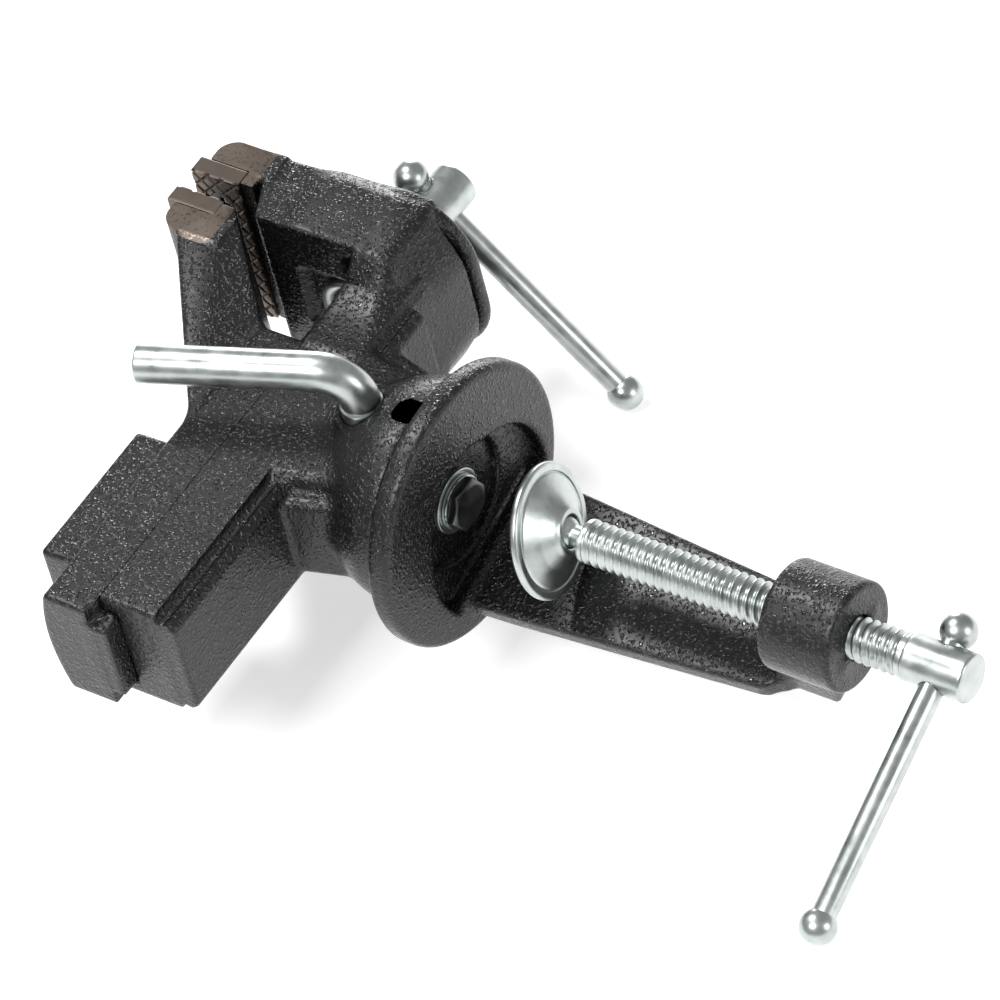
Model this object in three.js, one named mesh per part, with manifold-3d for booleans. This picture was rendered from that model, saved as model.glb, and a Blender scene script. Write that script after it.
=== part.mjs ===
// Clamp-on swivel table vise. Millimetres, +Z up as the vise is used.
// Origin: on the swivel axis, in the plane of the flange's underside (the table top).
// The main screw runs along +X (handle end), the jaws are wide along Y.
import * as THREE from "three";
import { ConvexGeometry } from "three/addons/geometries/ConvexGeometry.js";
import { mergeVertices } from "three/addons/utils/BufferGeometryUtils.js";
import Module from "manifold-3d";

// ---- driving sizes ----
const JAW_WIDTH = 63.4; // along Y
const JAW_PLATE_T = 6.7; // plate thickness along X
const JAW_PLATE_H = 18.6; // plate height
const JAW_GAP = 7; // opening between the gripping faces at rest
const JAW_FACE_X = 64.2; // gripping face of the fixed jaw
const JAW_TOP_Z = 145; // top edge of both plates
const JAW_BLOCK_H = 20; // height of the casting behind a plate
const JAW_BLOCK_T = 10.4; // casting behind a plate, along X
const JAW_STEP = 3.5; // plate stands this far above the casting
const PLATE_PROUD = 1.5; // plate stands this far out of the casting below it
const JAW_CORNER_R = 7; // outer top corner of each jaw
const BEAM_HALF_W = 22; // slide and rail, along Y
const SEAM_Z = 74.4; // where the slide sits on the rail
const SLIDE_SIDE_Z = 91.7; // top of the slide at its sides
const SLIDE_TOP_Z = 95.3; // top of the slide on its centre line
const SLIDE_BACK_X = -101;
const SLIDE_FRONT_X = 23;
const RAIL_BACK_X = -94;
const RAIL_FRONT_X = 60; // where it ends inside the upright
const RAIL_LEDGE_Z = 53; // below this the rail is narrower
const RAIL_BOTTOM_Z = 47;
const RAIL_LOW_HALF_W = 17.5;
const TONGUE_HALF_W = 16;
const TONGUE_D = 5;
const ANVIL_HALF_W = 16;
const ANVIL_TOP_Z = 107.5;
const ANVIL_BACK_X = -82;
const ANVIL_FRONT_X = -27;
const UPRIGHT_FRONT_X = 84; // outer face of the fixed upright
const UPRIGHT_WALL_X = 55; // inner wall the screw comes through
const WALL_TOP_Z = 113.5; // above this the wall leans out to the plate
const WINDOW_HALF_W = 15; // opening in the wall round the screw
const WINDOW_TOP_Z = 102.5;
const BEARING_R = 15; // boss the screw's collar bears on
const BEARING_PROUD = 7;
const HUMP_HALF_W = 34.5;
const HUMP_BOTTOM_Z = 49;
const HUMP_TOP_Z = 98;
const HUMP_CORNER_R = 25;
const RIM_T = 6; // rim round the outer face of the upright
const NECK_R = 37.4;
const NECK_STRAIGHT_TOP_Z = 22; // top of the neck's straight wall
const NECK_BLOCK_HALF_X = 30;
const NECK_WEB_HALF_X = 37;
const SWIVEL_Z = 12.2; // plane the head turns on
const STEP_R = 28; // raised turntable step inside the neck
const STEP_TOP_Z = 19;
const SPIGOT_R = 16;
const SPIGOT_TOP_Z = 41;
const FLANGE_R = 47;
const FLANGE_RIM_Z = 8;
const MOUTH_R = 31; // open underside of the flange
const MOUTH_OFF_T = 3;
const MOUTH_OFF_R = 14;
const POCKET_R = 22;
const POCKET_TOP_Z = 7.6; // recess that holds the swivel bolt's head
const MOUTH_TOP_Z = 5; // depth of the open underside
const BOLT_R = 6;
const BOLT_HEAD_AF = 16; // across flats
const BOLT_HEAD_T = 3.4;
const BOLT_TOP_Z = 58;
const BOLT_HOLE_FIT = 0.6; // radial, swivel bolt in the spigot
const WASHER_T = 2; // thrust washer of the main screw
const SWIVEL_WASHER_R = 11;
const SWIVEL_WASHER_T = 1.8;
const SPRING_WASHER_R = 9.2;
const SPRING_WASHER_T = 1.6;
const STACK_FIT = 0.05; // between washers that lie on each other
const CLAMP_YAW = -15; // degrees, the clamp's turn under the head at rest
const CLAMP_AXIS_T = 2.3; // clamp screw's offset across the spine
const SPINE_IN_R = 25.9; // inner face of the spine from the swivel axis
const SPINE_T = 7.2;
const SPINE_TOP_HALF_W = 24.5;
const SPINE_LOW_HALF_W = 17;
const SPINE_LOW_Z = -112;
const BOSS_R = 18;
const BOSS_TOP_Z = -115;
const BOSS_LOW_Z = -141;
const BOSS_WEB_HALF_W = 11;
const SCREW_R = 7.2; // crest radius of both screws
const SCREW_NECK_R = 3.5; // plain neck behind the pad's ball
const HEAD_R = 8; // cross-drilled head of both screws
const HEAD_L = 22;
const MAIN_AXIS_Z = 82.5;
const MAIN_BAR_X = 106; // cross bar of the main screw
const MAIN_SCREW_END_X = -62;
const COLLAR_R = 12;
const COLLAR_T = 3;
const RETAIN_R = 12;
const RETAIN_T = 2;
const PIN_R = 1.25;
const PIN_L = 22;
const PIN_TILT = 24; // degrees from +Z towards +Y
const BAR_R = 4;
const BAR_L = 100.6; // between the ball centres
const BALL_R = 6;
const BALL_SIT = 12.6; // ball centre from the screw's axis, pushed home
const BALL_FLAT = 0.7; // of the ball's radius, where its flat meets the bar
const RIVET = 0.6; // of the bar's radius, the stub that holds a ball
const MAIN_BAR_ANGLE = -42.5; // degrees from +Y towards +Z, long end
const CLAMP_BAR_ANGLE = 159; // degrees from +X towards +Y, long end
const CLAMP_BAR_Z = -170.5;
const PAD_TOP_Z = -25.8; // centre of the pad's face before it tilts on its ball
const PAD_TILT = 15.6; // degrees the pad hangs over at rest
const PAD_TILT_WAY = 130; // degrees from +X towards +Y, the side it leans to
const PAD_BALL_R = 5.6;
const PAD_BALL_UP = 3.4; // ball centre above the pad's back
const PAD_MOUTH_R = 5.2; // opening that keeps the ball in
const PAD_R = 21.8;
const PAD_RIM_T = 3;
const PAD_HUB_R = 8;
const PAD_H = 10;
const LEVER_Z = 34.75;
const LEVER_R = 6.4;
const LEVER_ARM = 70.5; // corner to end
const LEVER_BEND_R = 12.5;
const LEVER_TILT = 19.7; // degrees, the arm's lean from +Z towards -X
const LEVER_CORNER_Y = -46.9;
const LEVER_COLLAR_R = 7.1;
const LEVER_COLLAR_T = 6.6;
const LEVER_SEAT_R = 7.5; // recess the collar goes into
const LOCK_SCREW_R = 6;
const LUG_R = 9.5; // boss the lock screw threads into
const LUG_FACE_Y = -29.4;
const PLATE_SCREW_R = 2.5;
const PLATE_SCREW_HEAD_R = 4.6;
const PLATE_SCREW_L = 14;
const PLATE_SCREW_Y = 20;
const SLIDE_FIT = 0.15; // slide on rail, each face
const TURN_FIT = 0.1; // radial, parts that turn in a bore
const REST_GAP = 0.3; // between a turned group and what it sits on
const SEG = 36; // facets round a large circle
const SMALL_SEG = 20; // facets round a small one
const FLANGE_SEG = 60;
const BALL_SEG = 10; // facets from pole to pole
const SOCKET_SEG = 5;

// ---- solid helpers ----
const wasm = await Module();
wasm.setup();
const up = new THREE.Vector3(0, 0, 1);
const deg = Math.PI / 180;

function solid(geometry) {
  const g = geometry.clone();
  g.deleteAttribute("normal");
  g.deleteAttribute("uv");
  const m = mergeVertices(g, 1e-4);
  return new wasm.Manifold(
    new wasm.Mesh({
      numProp: 3,
      vertProperties: new Float32Array(m.attributes.position.array),
      triVerts: new Uint32Array(m.index.array),
    }),
  );
}
const box = (x0, x1, y0, y1, z0, z1) =>
  solid(
    new THREE.BoxGeometry(x1 - x0, y1 - y0, z1 - z0).translate(
      (x0 + x1) / 2,
      (y0 + y1) / 2,
      (z0 + z1) / 2,
    ),
  );
const hull = (points) => solid(new ConvexGeometry(points.map((p) => new THREE.Vector3(...p))));
// A profile of [radius, height] pairs turned about an axis from a point.
function turned(profile, seg = SEG, at = [0, 0, 0], dir = [0, 0, 1]) {
  const g = new THREE.LatheGeometry(
    profile.map(([r, h]) => new THREE.Vector2(r, h)),
    seg,
  );
  g.rotateX(Math.PI / 2); // the lathe's own axis becomes +Z
  g.applyQuaternion(
    new THREE.Quaternion().setFromUnitVectors(up, new THREE.Vector3(...dir).normalize()),
  );
  return solid(g.translate(...at));
}
const rod = (r, h0, h1, seg, at, dir) =>
  turned([[0, h0], [r, h0], [r, h1], [0, h1]], seg, at, dir);
// An outline in the Y-Z plane run along X, or in the X-Z plane run along Y.
function prism(points, from, to, along) {
  const shape = new THREE.Shape(points.map(([a, b]) => new THREE.Vector2(a, b)));
  const g = new THREE.ExtrudeGeometry(shape, { depth: to - from, bevelEnabled: false });
  const basis =
    along === "X"
      ? new THREE.Matrix4().set(0, 0, 1, from, 1, 0, 0, 0, 0, 1, 0, 0, 0, 0, 0, 1)
      : new THREE.Matrix4().set(1, 0, 0, 0, 0, 0, -1, to, 0, 1, 0, 0, 0, 0, 0, 1);
  return solid(g.applyMatrix4(basis));
}
const arc = (cx, cy, r, a0, a1, n) =>
  Array.from({ length: n + 1 }, (_, i) => {
    const a = (a0 + ((a1 - a0) * i) / n) * deg;
    return [cx + r * Math.cos(a), cy + r * Math.sin(a)];
  });
// An arc's points that should lie on the turning axis, put exactly on it.
const onAxis = (points) => points.map(([a, b]) => [Math.abs(a) < 1e-9 ? 0 : a, b]);
const nodes = [];
function node(name, manifold, finish) {
  const m = manifold.getMesh();
  const n = m.numProp;
  const v = new Float32Array(m.numVert * 3);
  for (let i = 0; i < m.numVert; i++) v.set(m.vertProperties.subarray(i * n, i * n + 3), i * 3);
  const g = new THREE.BufferGeometry()
    .setAttribute("position", new THREE.BufferAttribute(v, 3))
    .setIndex(new THREE.BufferAttribute(m.triVerts, 1));
  const mesh = new THREE.Mesh(g, finish);
  mesh.name = name;
  nodes.push(mesh);
  return mesh;
}

// ---- finishes ----
const look = (color, roughness, metalness) =>
  new THREE.MeshStandardMaterial({ color, roughness, metalness });
const HAMMERTONE = look(0x1c1c1e, 0.42, 0.3);
const ZINC = look(0xb9bfc2, 0.32, 0.95);
const GROUND_STEEL = look(0x8a8178, 0.45, 0.9);
const BRASS = look(0xb8a26a, 0.35, 0.95);
const DARK_STEEL = look(0x55575a, 0.4, 0.9);

// ---- shared values that follow from the sizes ----
const halfJaw = JAW_WIDTH / 2;
const movingFaceX = JAW_FACE_X - JAW_GAP;
const plateBottomZ = JAW_TOP_Z - JAW_PLATE_H;
const blockTopZ = JAW_TOP_Z - JAW_STEP;
const blockBottomZ = blockTopZ - JAW_BLOCK_H;
const tongueZ = SEAM_Z - TONGUE_D;

// ---- jaw plates and their screws ----
const plateScrewZ = plateBottomZ + JAW_PLATE_H * 0.45;
const screwCone = PLATE_SCREW_HEAD_R - PLATE_SCREW_R;
// A countersunk hole and the screw in it share one profile, grown by a fit.
const plateScrewProfile = (fit, start) => [
  [0, start],
  [PLATE_SCREW_HEAD_R + fit, start],
  [PLATE_SCREW_HEAD_R + fit, 0.8],
  [PLATE_SCREW_R + fit, 0.8 + screwCone],
  [PLATE_SCREW_R + fit, PLATE_SCREW_L + fit],
  [0, PLATE_SCREW_L + fit],
];
function plateScrews(faceX, into, fit, start) {
  return [-PLATE_SCREW_Y, PLATE_SCREW_Y].map((y) =>
    turned(plateScrewProfile(fit, start), SMALL_SEG, [faceX, y, plateScrewZ], [into, 0, 0]),
  );
}
const fixedCuts = plateScrews(JAW_FACE_X, 1, TURN_FIT, -1);
const movingCuts = plateScrews(movingFaceX, -1, TURN_FIT, -1);
const cutAll = (body, cuts) => cuts.reduce((b, c) => b.subtract(c), body);
const fixedPlate = box(
  JAW_FACE_X, JAW_FACE_X + JAW_PLATE_T, -halfJaw, halfJaw, plateBottomZ, JAW_TOP_Z,
);
const movingPlate = box(
  movingFaceX - JAW_PLATE_T, movingFaceX, -halfJaw, halfJaw, plateBottomZ, JAW_TOP_Z,
);
node("fixed_jaw_plate", cutAll(fixedPlate, fixedCuts), GROUND_STEEL);
node("moving_jaw_plate", cutAll(movingPlate, movingCuts), GROUND_STEEL);
for (const [label, face, into] of [["fixed", JAW_FACE_X, 1], ["moving", movingFaceX, -1]])
  plateScrews(face, into, 0, 0.3).forEach((s, i) =>
    node(`${label}_plate_screw_${i + 1}`, s, DARK_STEEL),
  );

// ---- fixed casting ----
// Outline of a jaw casting, outer top corner rounded; sign is the way its back faces.
function jawBlock(plateBackX, sign) {
  const front = plateBackX + SLIDE_FIT * sign;
  const low = plateBackX - (JAW_PLATE_T - PLATE_PROUD) * sign;
  const back = plateBackX + JAW_BLOCK_T * sign;
  const corner = arc(0, 0, JAW_CORNER_R, 0, 90, 6).map(([a, b]) => [
    back - (JAW_CORNER_R - a) * sign,
    blockTopZ - JAW_CORNER_R + b,
  ]);
  const pts = [
    [low, blockBottomZ],
    [back, blockBottomZ],
    ...corner,
    [front, blockTopZ],
    [front, plateBottomZ - SLIDE_FIT],
    [low, plateBottomZ - SLIDE_FIT],
  ];
  return prism(sign > 0 ? pts : pts.reverse(), -halfJaw, halfJaw, "Y");
}
const fixedBack = JAW_FACE_X + JAW_PLATE_T;
const fixedLow = JAW_FACE_X + PLATE_PROUD;
const fixedJawBack = fixedBack + JAW_BLOCK_T;
// The upright leans in from under the jaw to the inner wall.
const upright = prism(
  [
    [UPRIGHT_WALL_X, SEAM_Z],
    [UPRIGHT_FRONT_X, SEAM_Z],
    [fixedJawBack, blockBottomZ + 1],
    [fixedLow, blockBottomZ + 1],
    [fixedLow, blockBottomZ - 3],
    [UPRIGHT_WALL_X, WALL_TOP_Z],
  ],
  -halfJaw,
  halfJaw,
  "Y",
);
// Rounded outline of the upright seen along X: straight sides, round lower corners.
const humpOutline = (halfW, bottom, top, r) => [
  [halfW, top],
  ...arc(halfW - r, bottom + r, r, 0, -90, 8),
  ...arc(-halfW + r, bottom + r, r, -90, -180, 8),
  [-halfW, top],
];
const ringOf = (outline, x) => outline.map(([y, z]) => [x, y, z]);
const rim = humpOutline(HUMP_HALF_W, HUMP_BOTTOM_Z, HUMP_TOP_Z, HUMP_CORNER_R);
const rimInner = humpOutline(HUMP_HALF_W - 1, HUMP_BOTTOM_Z + 1, HUMP_TOP_Z - 1, HUMP_CORNER_R);
const hump = hull([
  ...ringOf(rimInner, UPRIGHT_FRONT_X - RIM_T),
  ...ringOf(humpOutline(BEAM_HALF_W + 6, RAIL_LEDGE_Z - 2, HUMP_TOP_Z - 8, 8), UPRIGHT_WALL_X - 5),
  ...ringOf(humpOutline(BEAM_HALF_W, RAIL_LEDGE_Z, SEAM_Z + 1, 2), SLIDE_FRONT_X - 1),
]);
const rimBand = hull([
  ...ringOf(rim, UPRIGHT_FRONT_X - RIM_T),
  ...ringOf(rimInner, UPRIGHT_FRONT_X),
]);
const rail = box(
  RAIL_BACK_X, RAIL_FRONT_X, -BEAM_HALF_W, BEAM_HALF_W, RAIL_LEDGE_Z, SEAM_Z,
).add(
  box(
    RAIL_BACK_X, RAIL_FRONT_X, -RAIL_LOW_HALF_W, RAIL_LOW_HALF_W,
    RAIL_BOTTOM_Z, RAIL_LEDGE_Z + 1,
  ),
);
// Round neck, straight at the swivel plane, then a shoulder that leans in to the rail.
const shoulderTopR = BEAM_HALF_W;
const neck = turned(
  [
    [0, SWIVEL_Z + REST_GAP],
    [NECK_R, SWIVEL_Z + REST_GAP],
    [NECK_R, NECK_STRAIGHT_TOP_Z],
    [NECK_R - 2, NECK_STRAIGHT_TOP_Z + 7],
    [shoulderTopR + 5, NECK_STRAIGHT_TOP_Z + 20],
    [shoulderTopR, RAIL_LEDGE_Z + 1],
    [0, RAIL_LEDGE_Z + 1],
  ],
  SEG,
);
const neckBlock = box(
  -NECK_BLOCK_HALF_X, NECK_BLOCK_HALF_X, -BEAM_HALF_W, BEAM_HALF_W,
  NECK_STRAIGHT_TOP_Z, RAIL_LEDGE_Z + 1,
).add(
  box(
    -NECK_WEB_HALF_X, NECK_WEB_HALF_X, -RAIL_LOW_HALF_W, RAIL_LOW_HALF_W,
    NECK_STRAIGHT_TOP_Z + 10, RAIL_LEDGE_Z,
  ),
);
const lug = rod(LUG_R, BEAM_HALF_W - 4, -LUG_FACE_Y, SMALL_SEG, [0, 0, LEVER_Z], [0, -1, 0]);
const bearingFaceX = UPRIGHT_FRONT_X + BEARING_PROUD;
const screwBoss = rod(BEARING_R, UPRIGHT_FRONT_X - 1, bearingFaceX, SEG,
  [0, 0, MAIN_AXIS_Z], [1, 0, 0]);

// Space cut out of the fixed casting.
const slideSpace = box(
  RAIL_BACK_X - 10, UPRIGHT_WALL_X, -60, 60, SEAM_Z, 200,
);
const tongueSpace = box(
  RAIL_BACK_X - 10, 40, -TONGUE_HALF_W - SLIDE_FIT, TONGUE_HALF_W + SLIDE_FIT,
  tongueZ - SLIDE_FIT, 200,
);
const screwWindow = box(
  UPRIGHT_WALL_X - 20, UPRIGHT_WALL_X + RETAIN_T + 2 * TURN_FIT,
  -WINDOW_HALF_W, WINDOW_HALF_W, tongueZ - SLIDE_FIT, WINDOW_TOP_Z,
);
const screwBore = rod(SCREW_R + TURN_FIT, 0, 200, SEG, [40, 0, MAIN_AXIS_Z], [1, 0, 0]);
const stepSpace = turned(
  [
    [0, 0],
    [STEP_R + REST_GAP, 0],
    [STEP_R + REST_GAP, STEP_TOP_Z + REST_GAP],
    [SPIGOT_R + TURN_FIT, STEP_TOP_Z + REST_GAP],
    [SPIGOT_R + TURN_FIT, SPIGOT_TOP_Z + REST_GAP],
    [BOLT_R + TURN_FIT, SPIGOT_TOP_Z + REST_GAP],
    [BOLT_R + TURN_FIT, BOLT_TOP_Z + 1],
    [0, BOLT_TOP_Z + 1],
  ],
  SEG,
);
const collarTop = -LEVER_CORNER_Y - LEVER_BEND_R; // where the lever's bend starts
const collarSeat = collarTop - LEVER_COLLAR_T - REST_GAP;
const lockSpace = rod(LOCK_SCREW_R + TURN_FIT, 0, 60, SMALL_SEG, [0, 0, LEVER_Z], [0, -1, 0]).add(
  rod(LEVER_SEAT_R, collarSeat, 60, SMALL_SEG, [0, 0, LEVER_Z], [0, -1, 0]),
);
const recess = box(UPRIGHT_WALL_X - 1, UPRIGHT_WALL_X + 3, -27, -17, SEAM_Z - 1, 81);
const fixedBody = hump
  .add(upright)
  .subtract(slideSpace)
  .subtract(recess)
  .add(rimBand)
  .add(jawBlock(fixedBack, 1))
  .add(rail)
  .add(neck)
  .add(neckBlock)
  .add(lug)
  .add(screwBoss)
  .subtract(tongueSpace)
  .subtract(screwWindow)
  .subtract(screwBore)
  .subtract(stepSpace)
  .subtract(lockSpace);
node("fixed_body", cutAll(fixedBody, fixedCuts), HAMMERTONE);

// ---- moving casting ----
const movingBack = movingFaceX - JAW_PLATE_T;
const slideTop = Array.from({ length: 13 }, (_, i) => {
  const y = -BEAM_HALF_W + (2 * BEAM_HALF_W * i) / 12;
  return [y, SLIDE_TOP_Z - (SLIDE_TOP_Z - SLIDE_SIDE_Z) * (y / BEAM_HALF_W) ** 2];
}).reverse();
const slide = prism(
  [
    [-BEAM_HALF_W, SEAM_Z + SLIDE_FIT],
    [-TONGUE_HALF_W, SEAM_Z + SLIDE_FIT],
    [-TONGUE_HALF_W, tongueZ],
    [TONGUE_HALF_W, tongueZ],
    [TONGUE_HALF_W, SEAM_Z + SLIDE_FIT],
    [BEAM_HALF_W, SEAM_Z + SLIDE_FIT],
    ...slideTop,
  ],
  SLIDE_BACK_X,
  SLIDE_FRONT_X,
  "X",
);
const jawBackX = movingBack - JAW_BLOCK_T;
const jawLowX = movingFaceX - PLATE_PROUD;
const corners = (x, y, z) => [[x, -y, z], [x, y, z]];
const movingArm = hull([
  ...corners(jawBackX, halfJaw, blockBottomZ),
  ...corners(jawBackX, halfJaw, blockTopZ - JAW_CORNER_R),
  ...corners(jawLowX, halfJaw, blockBottomZ),
  ...corners(jawLowX, halfJaw, plateBottomZ - SLIDE_FIT),
  ...corners(SLIDE_FRONT_X, BEAM_HALF_W, SLIDE_SIDE_Z - 1),
  ...corners(-20, BEAM_HALF_W, SLIDE_SIDE_Z - 1),
]);
const anvil = box(
  ANVIL_BACK_X, ANVIL_FRONT_X, -ANVIL_HALF_W, ANVIL_HALF_W, SLIDE_SIDE_Z, ANVIL_TOP_Z,
);
const plateSpace = box(
  movingBack - SLIDE_FIT, movingFaceX + 1, -60, 60, plateBottomZ - SLIDE_FIT, 200,
);
const nutBore = rod(SCREW_R + TURN_FIT, -90, 60, SEG, [0, 0, MAIN_AXIS_Z], [1, 0, 0]);
const movingBody = slide
  .add(movingArm)
  .add(anvil)
  .subtract(plateSpace)
  .add(jawBlock(movingBack, -1))
  .subtract(nutBore);
node("moving_jaw", cutAll(movingBody, movingCuts), HAMMERTONE);

// ---- main screw, its retaining parts and its cross bar ----
const headStart = MAIN_BAR_X - HEAD_L / 2;
const crossHole = (at, dir) => rod(BAR_R + TURN_FIT, -40, 40, SMALL_SEG, at, dir);
const mainDir = [0, Math.cos(MAIN_BAR_ANGLE * deg), Math.sin(MAIN_BAR_ANGLE * deg)];
const pinDir = [0, Math.sin(PIN_TILT * deg), Math.cos(PIN_TILT * deg)];
const pinX = UPRIGHT_WALL_X - PIN_R - TURN_FIT;
const washerX = UPRIGHT_WALL_X + TURN_FIT;
const mainScrew = turned(
  [
    [0, MAIN_SCREW_END_X],
    [SCREW_R - 1.5, MAIN_SCREW_END_X],
    [SCREW_R, MAIN_SCREW_END_X + 1.5],
    [SCREW_R, bearingFaceX + TURN_FIT + WASHER_T],
    [COLLAR_R - 2, bearingFaceX + TURN_FIT + WASHER_T],
    [COLLAR_R - 2, bearingFaceX + WASHER_T + COLLAR_T],
    [HEAD_R, bearingFaceX + WASHER_T + COLLAR_T],
    [HEAD_R, headStart + HEAD_L - 1],
    [HEAD_R - 1, headStart + HEAD_L],
    [0, headStart + HEAD_L],
  ],
  SEG,
  [0, 0, MAIN_AXIS_Z],
  [1, 0, 0],
)
  .subtract(crossHole([MAIN_BAR_X, 0, MAIN_AXIS_Z], mainDir))
  .subtract(rod(PIN_R + TURN_FIT, -20, 20, SMALL_SEG, [pinX, 0, MAIN_AXIS_Z], pinDir));
node("main_screw", mainScrew, ZINC);
const washer = (rIn, rOut, h0, h1, at, dir) =>
  turned([[rIn, h0], [rOut, h0], [rOut, h1], [rIn, h1], [rIn, h0]], SEG, at, dir);
node(
  "thrust_washer",
  washer(SCREW_R + TURN_FIT, COLLAR_R, bearingFaceX + TURN_FIT / 2, bearingFaceX + WASHER_T,
    [0, 0, MAIN_AXIS_Z], [1, 0, 0]),
  ZINC,
);
node(
  "retaining_washer",
  washer(SCREW_R + TURN_FIT, RETAIN_R, washerX, washerX + RETAIN_T, [0, 0, MAIN_AXIS_Z], [1, 0, 0]),
  ZINC,
);
node(
  "cotter_pin",
  rod(PIN_R, -PIN_L / 2, PIN_L / 2, SMALL_SEG, [pinX, 0, MAIN_AXIS_Z], pinDir),
  BRASS,
);
// A cross bar with a ball riveted on each end; the balls are separate pieces.
function crossBar(prefix, at, dir) {
  const far = BALL_SIT - BAR_L;
  const d = new THREE.Vector3(...dir);
  const along = (s) => [at[0] + d.x * s, at[1] + d.y * s, at[2] + d.z * s];
  const spigot = BAR_R * RIVET;
  const bar = turned(
    [
      [0, far],
      [spigot, far],
      [spigot, far + BALL_R * BALL_FLAT],
      [BAR_R, far + BALL_R * BALL_FLAT],
      [BAR_R, BALL_SIT - BALL_R * BALL_FLAT],
      [spigot, BALL_SIT - BALL_R * BALL_FLAT],
      [spigot, BALL_SIT],
      [0, BALL_SIT],
    ],
    SMALL_SEG,
    at,
    [-d.x, -d.y, -d.z],
  );
  node(prefix + "_bar", bar, ZINC);
  [BALL_SIT, far].forEach((s, i) => {
    const centre = along(-s);
    const towards = i ? 1 : -1;
    const inward = [d.x * -towards, d.y * -towards, d.z * -towards];
    const ball = turned(
      onAxis(arc(0, 0, BALL_R, -90, 90, BALL_SEG)),
      SMALL_SEG,
      centre,
      inward,
    )
      .subtract(rod(spigot + STACK_FIT, -STACK_FIT, BALL_R * 2, SMALL_SEG, centre, inward))
      .subtract(rod(BALL_R, BALL_R * BALL_FLAT - STACK_FIT, BALL_R * 2, SMALL_SEG, centre, inward));
    node(`${prefix}_bar_ball_${i + 1}`, ball, ZINC);
  });
}
crossBar("main", [MAIN_BAR_X, 0, MAIN_AXIS_Z], mainDir);

// ---- swivel bolt and washers, which turn with the head ----
const boltWasherTop = POCKET_TOP_Z - TURN_FIT;
const springTop = boltWasherTop - SWIVEL_WASHER_T - STACK_FIT;
const boltHeadTop = springTop - SPRING_WASHER_T - STACK_FIT;
node(
  "swivel_washer",
  washer(BOLT_R + TURN_FIT, SWIVEL_WASHER_R, boltWasherTop - SWIVEL_WASHER_T, boltWasherTop),
  ZINC,
);
node(
  "swivel_spring_washer",
  washer(BOLT_R + TURN_FIT, SPRING_WASHER_R, springTop - SPRING_WASHER_T, springTop).subtract(
    hull([
      ...corners(0, 0.5, springTop + 1),
      ...corners(0, 0.5, springTop - SPRING_WASHER_T - 1),
      ...corners(20, 1.1, springTop + 1),
      ...corners(20, 1.1, springTop - SPRING_WASHER_T - 1),
    ]),
  ),
  ZINC,
);
const hexR = BOLT_HEAD_AF / 2 / Math.cos(30 * deg);
node(
  "swivel_bolt",
  rod(hexR, boltHeadTop - BOLT_HEAD_T, boltHeadTop, 6).add(
    rod(BOLT_R, boltHeadTop - 1, BOLT_TOP_Z, SMALL_SEG),
  ),
  ZINC,
);

// ---- lock lever: threaded tip, collar, bend and arm in one bar ----
const legDir = [0, -1, 0];
const leg = turned(
  [
    [0, SPIGOT_R + 0.2],
    [LOCK_SCREW_R - 1, SPIGOT_R + 0.2],
    [LOCK_SCREW_R, SPIGOT_R + 1.2],
    [LOCK_SCREW_R, collarTop - LEVER_COLLAR_T],
    [LEVER_COLLAR_R, collarTop - LEVER_COLLAR_T],
    [LEVER_COLLAR_R, collarTop - 0.7],
    [LEVER_COLLAR_R - 0.7, collarTop],
    [0, collarTop],
  ],
  SMALL_SEG,
  [0, 0, LEVER_Z],
  legDir,
);
const armDir = new THREE.Vector3(-Math.sin(LEVER_TILT * deg), 0, Math.cos(LEVER_TILT * deg));
const bendCentre = new THREE.Vector3(0, LEVER_CORNER_Y + LEVER_BEND_R, LEVER_Z).addScaledVector(
  armDir,
  LEVER_BEND_R,
);
// The bend and the arm: the bar's circle carried round a quarter turn, then straight on.
function bentBar() {
  const out = new THREE.Vector3(0, -1, 0);
  const side = new THREE.Vector3().crossVectors(out, armDir);
  const ring = (centre, radial) =>
    Array.from({ length: SMALL_SEG }, (_, k) => {
      const a = (2 * Math.PI * k) / SMALL_SEG;
      return centre
        .clone()
        .addScaledVector(radial, LEVER_R * Math.cos(a))
        .addScaledVector(side, LEVER_R * Math.sin(a))
        .toArray();
    });
  const steps = 10;
  const rings = Array.from({ length: steps + 1 }, (_, i) => {
    const a = (i / steps) * (Math.PI / 2);
    const radial = armDir.clone().multiplyScalar(-Math.cos(a)).addScaledVector(out, Math.sin(a));
    return ring(bendCentre.clone().addScaledVector(radial, LEVER_BEND_R), radial);
  });
  const end = bendCentre
    .clone()
    .addScaledVector(out, LEVER_BEND_R)
    .addScaledVector(armDir, LEVER_ARM - LEVER_BEND_R);
  rings.push(ring(end, out));
  const first = rings[0];
  const last = rings[rings.length - 1];
  const pos = [];
  rings.slice(1).forEach((after, i) =>
    first.forEach((_, k) => {
      const before = rings[i];
      const k2 = (k + 1) % SMALL_SEG;
      pos.push(...before[k], ...after[k2], ...before[k2]);
      pos.push(...before[k], ...after[k], ...after[k2]);
    }),
  );
  for (let k = 1; k + 1 < SMALL_SEG; k++) {
    pos.push(...first[0], ...first[k], ...first[k + 1]);
    pos.push(...last[0], ...last[k + 1], ...last[k]);
  }
  return solid(
    new THREE.BufferGeometry().setAttribute("position", new THREE.Float32BufferAttribute(pos, 3)),
  );
}
const lever = leg.add(bentBar());
node("lock_lever", lever, ZINC);

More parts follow.
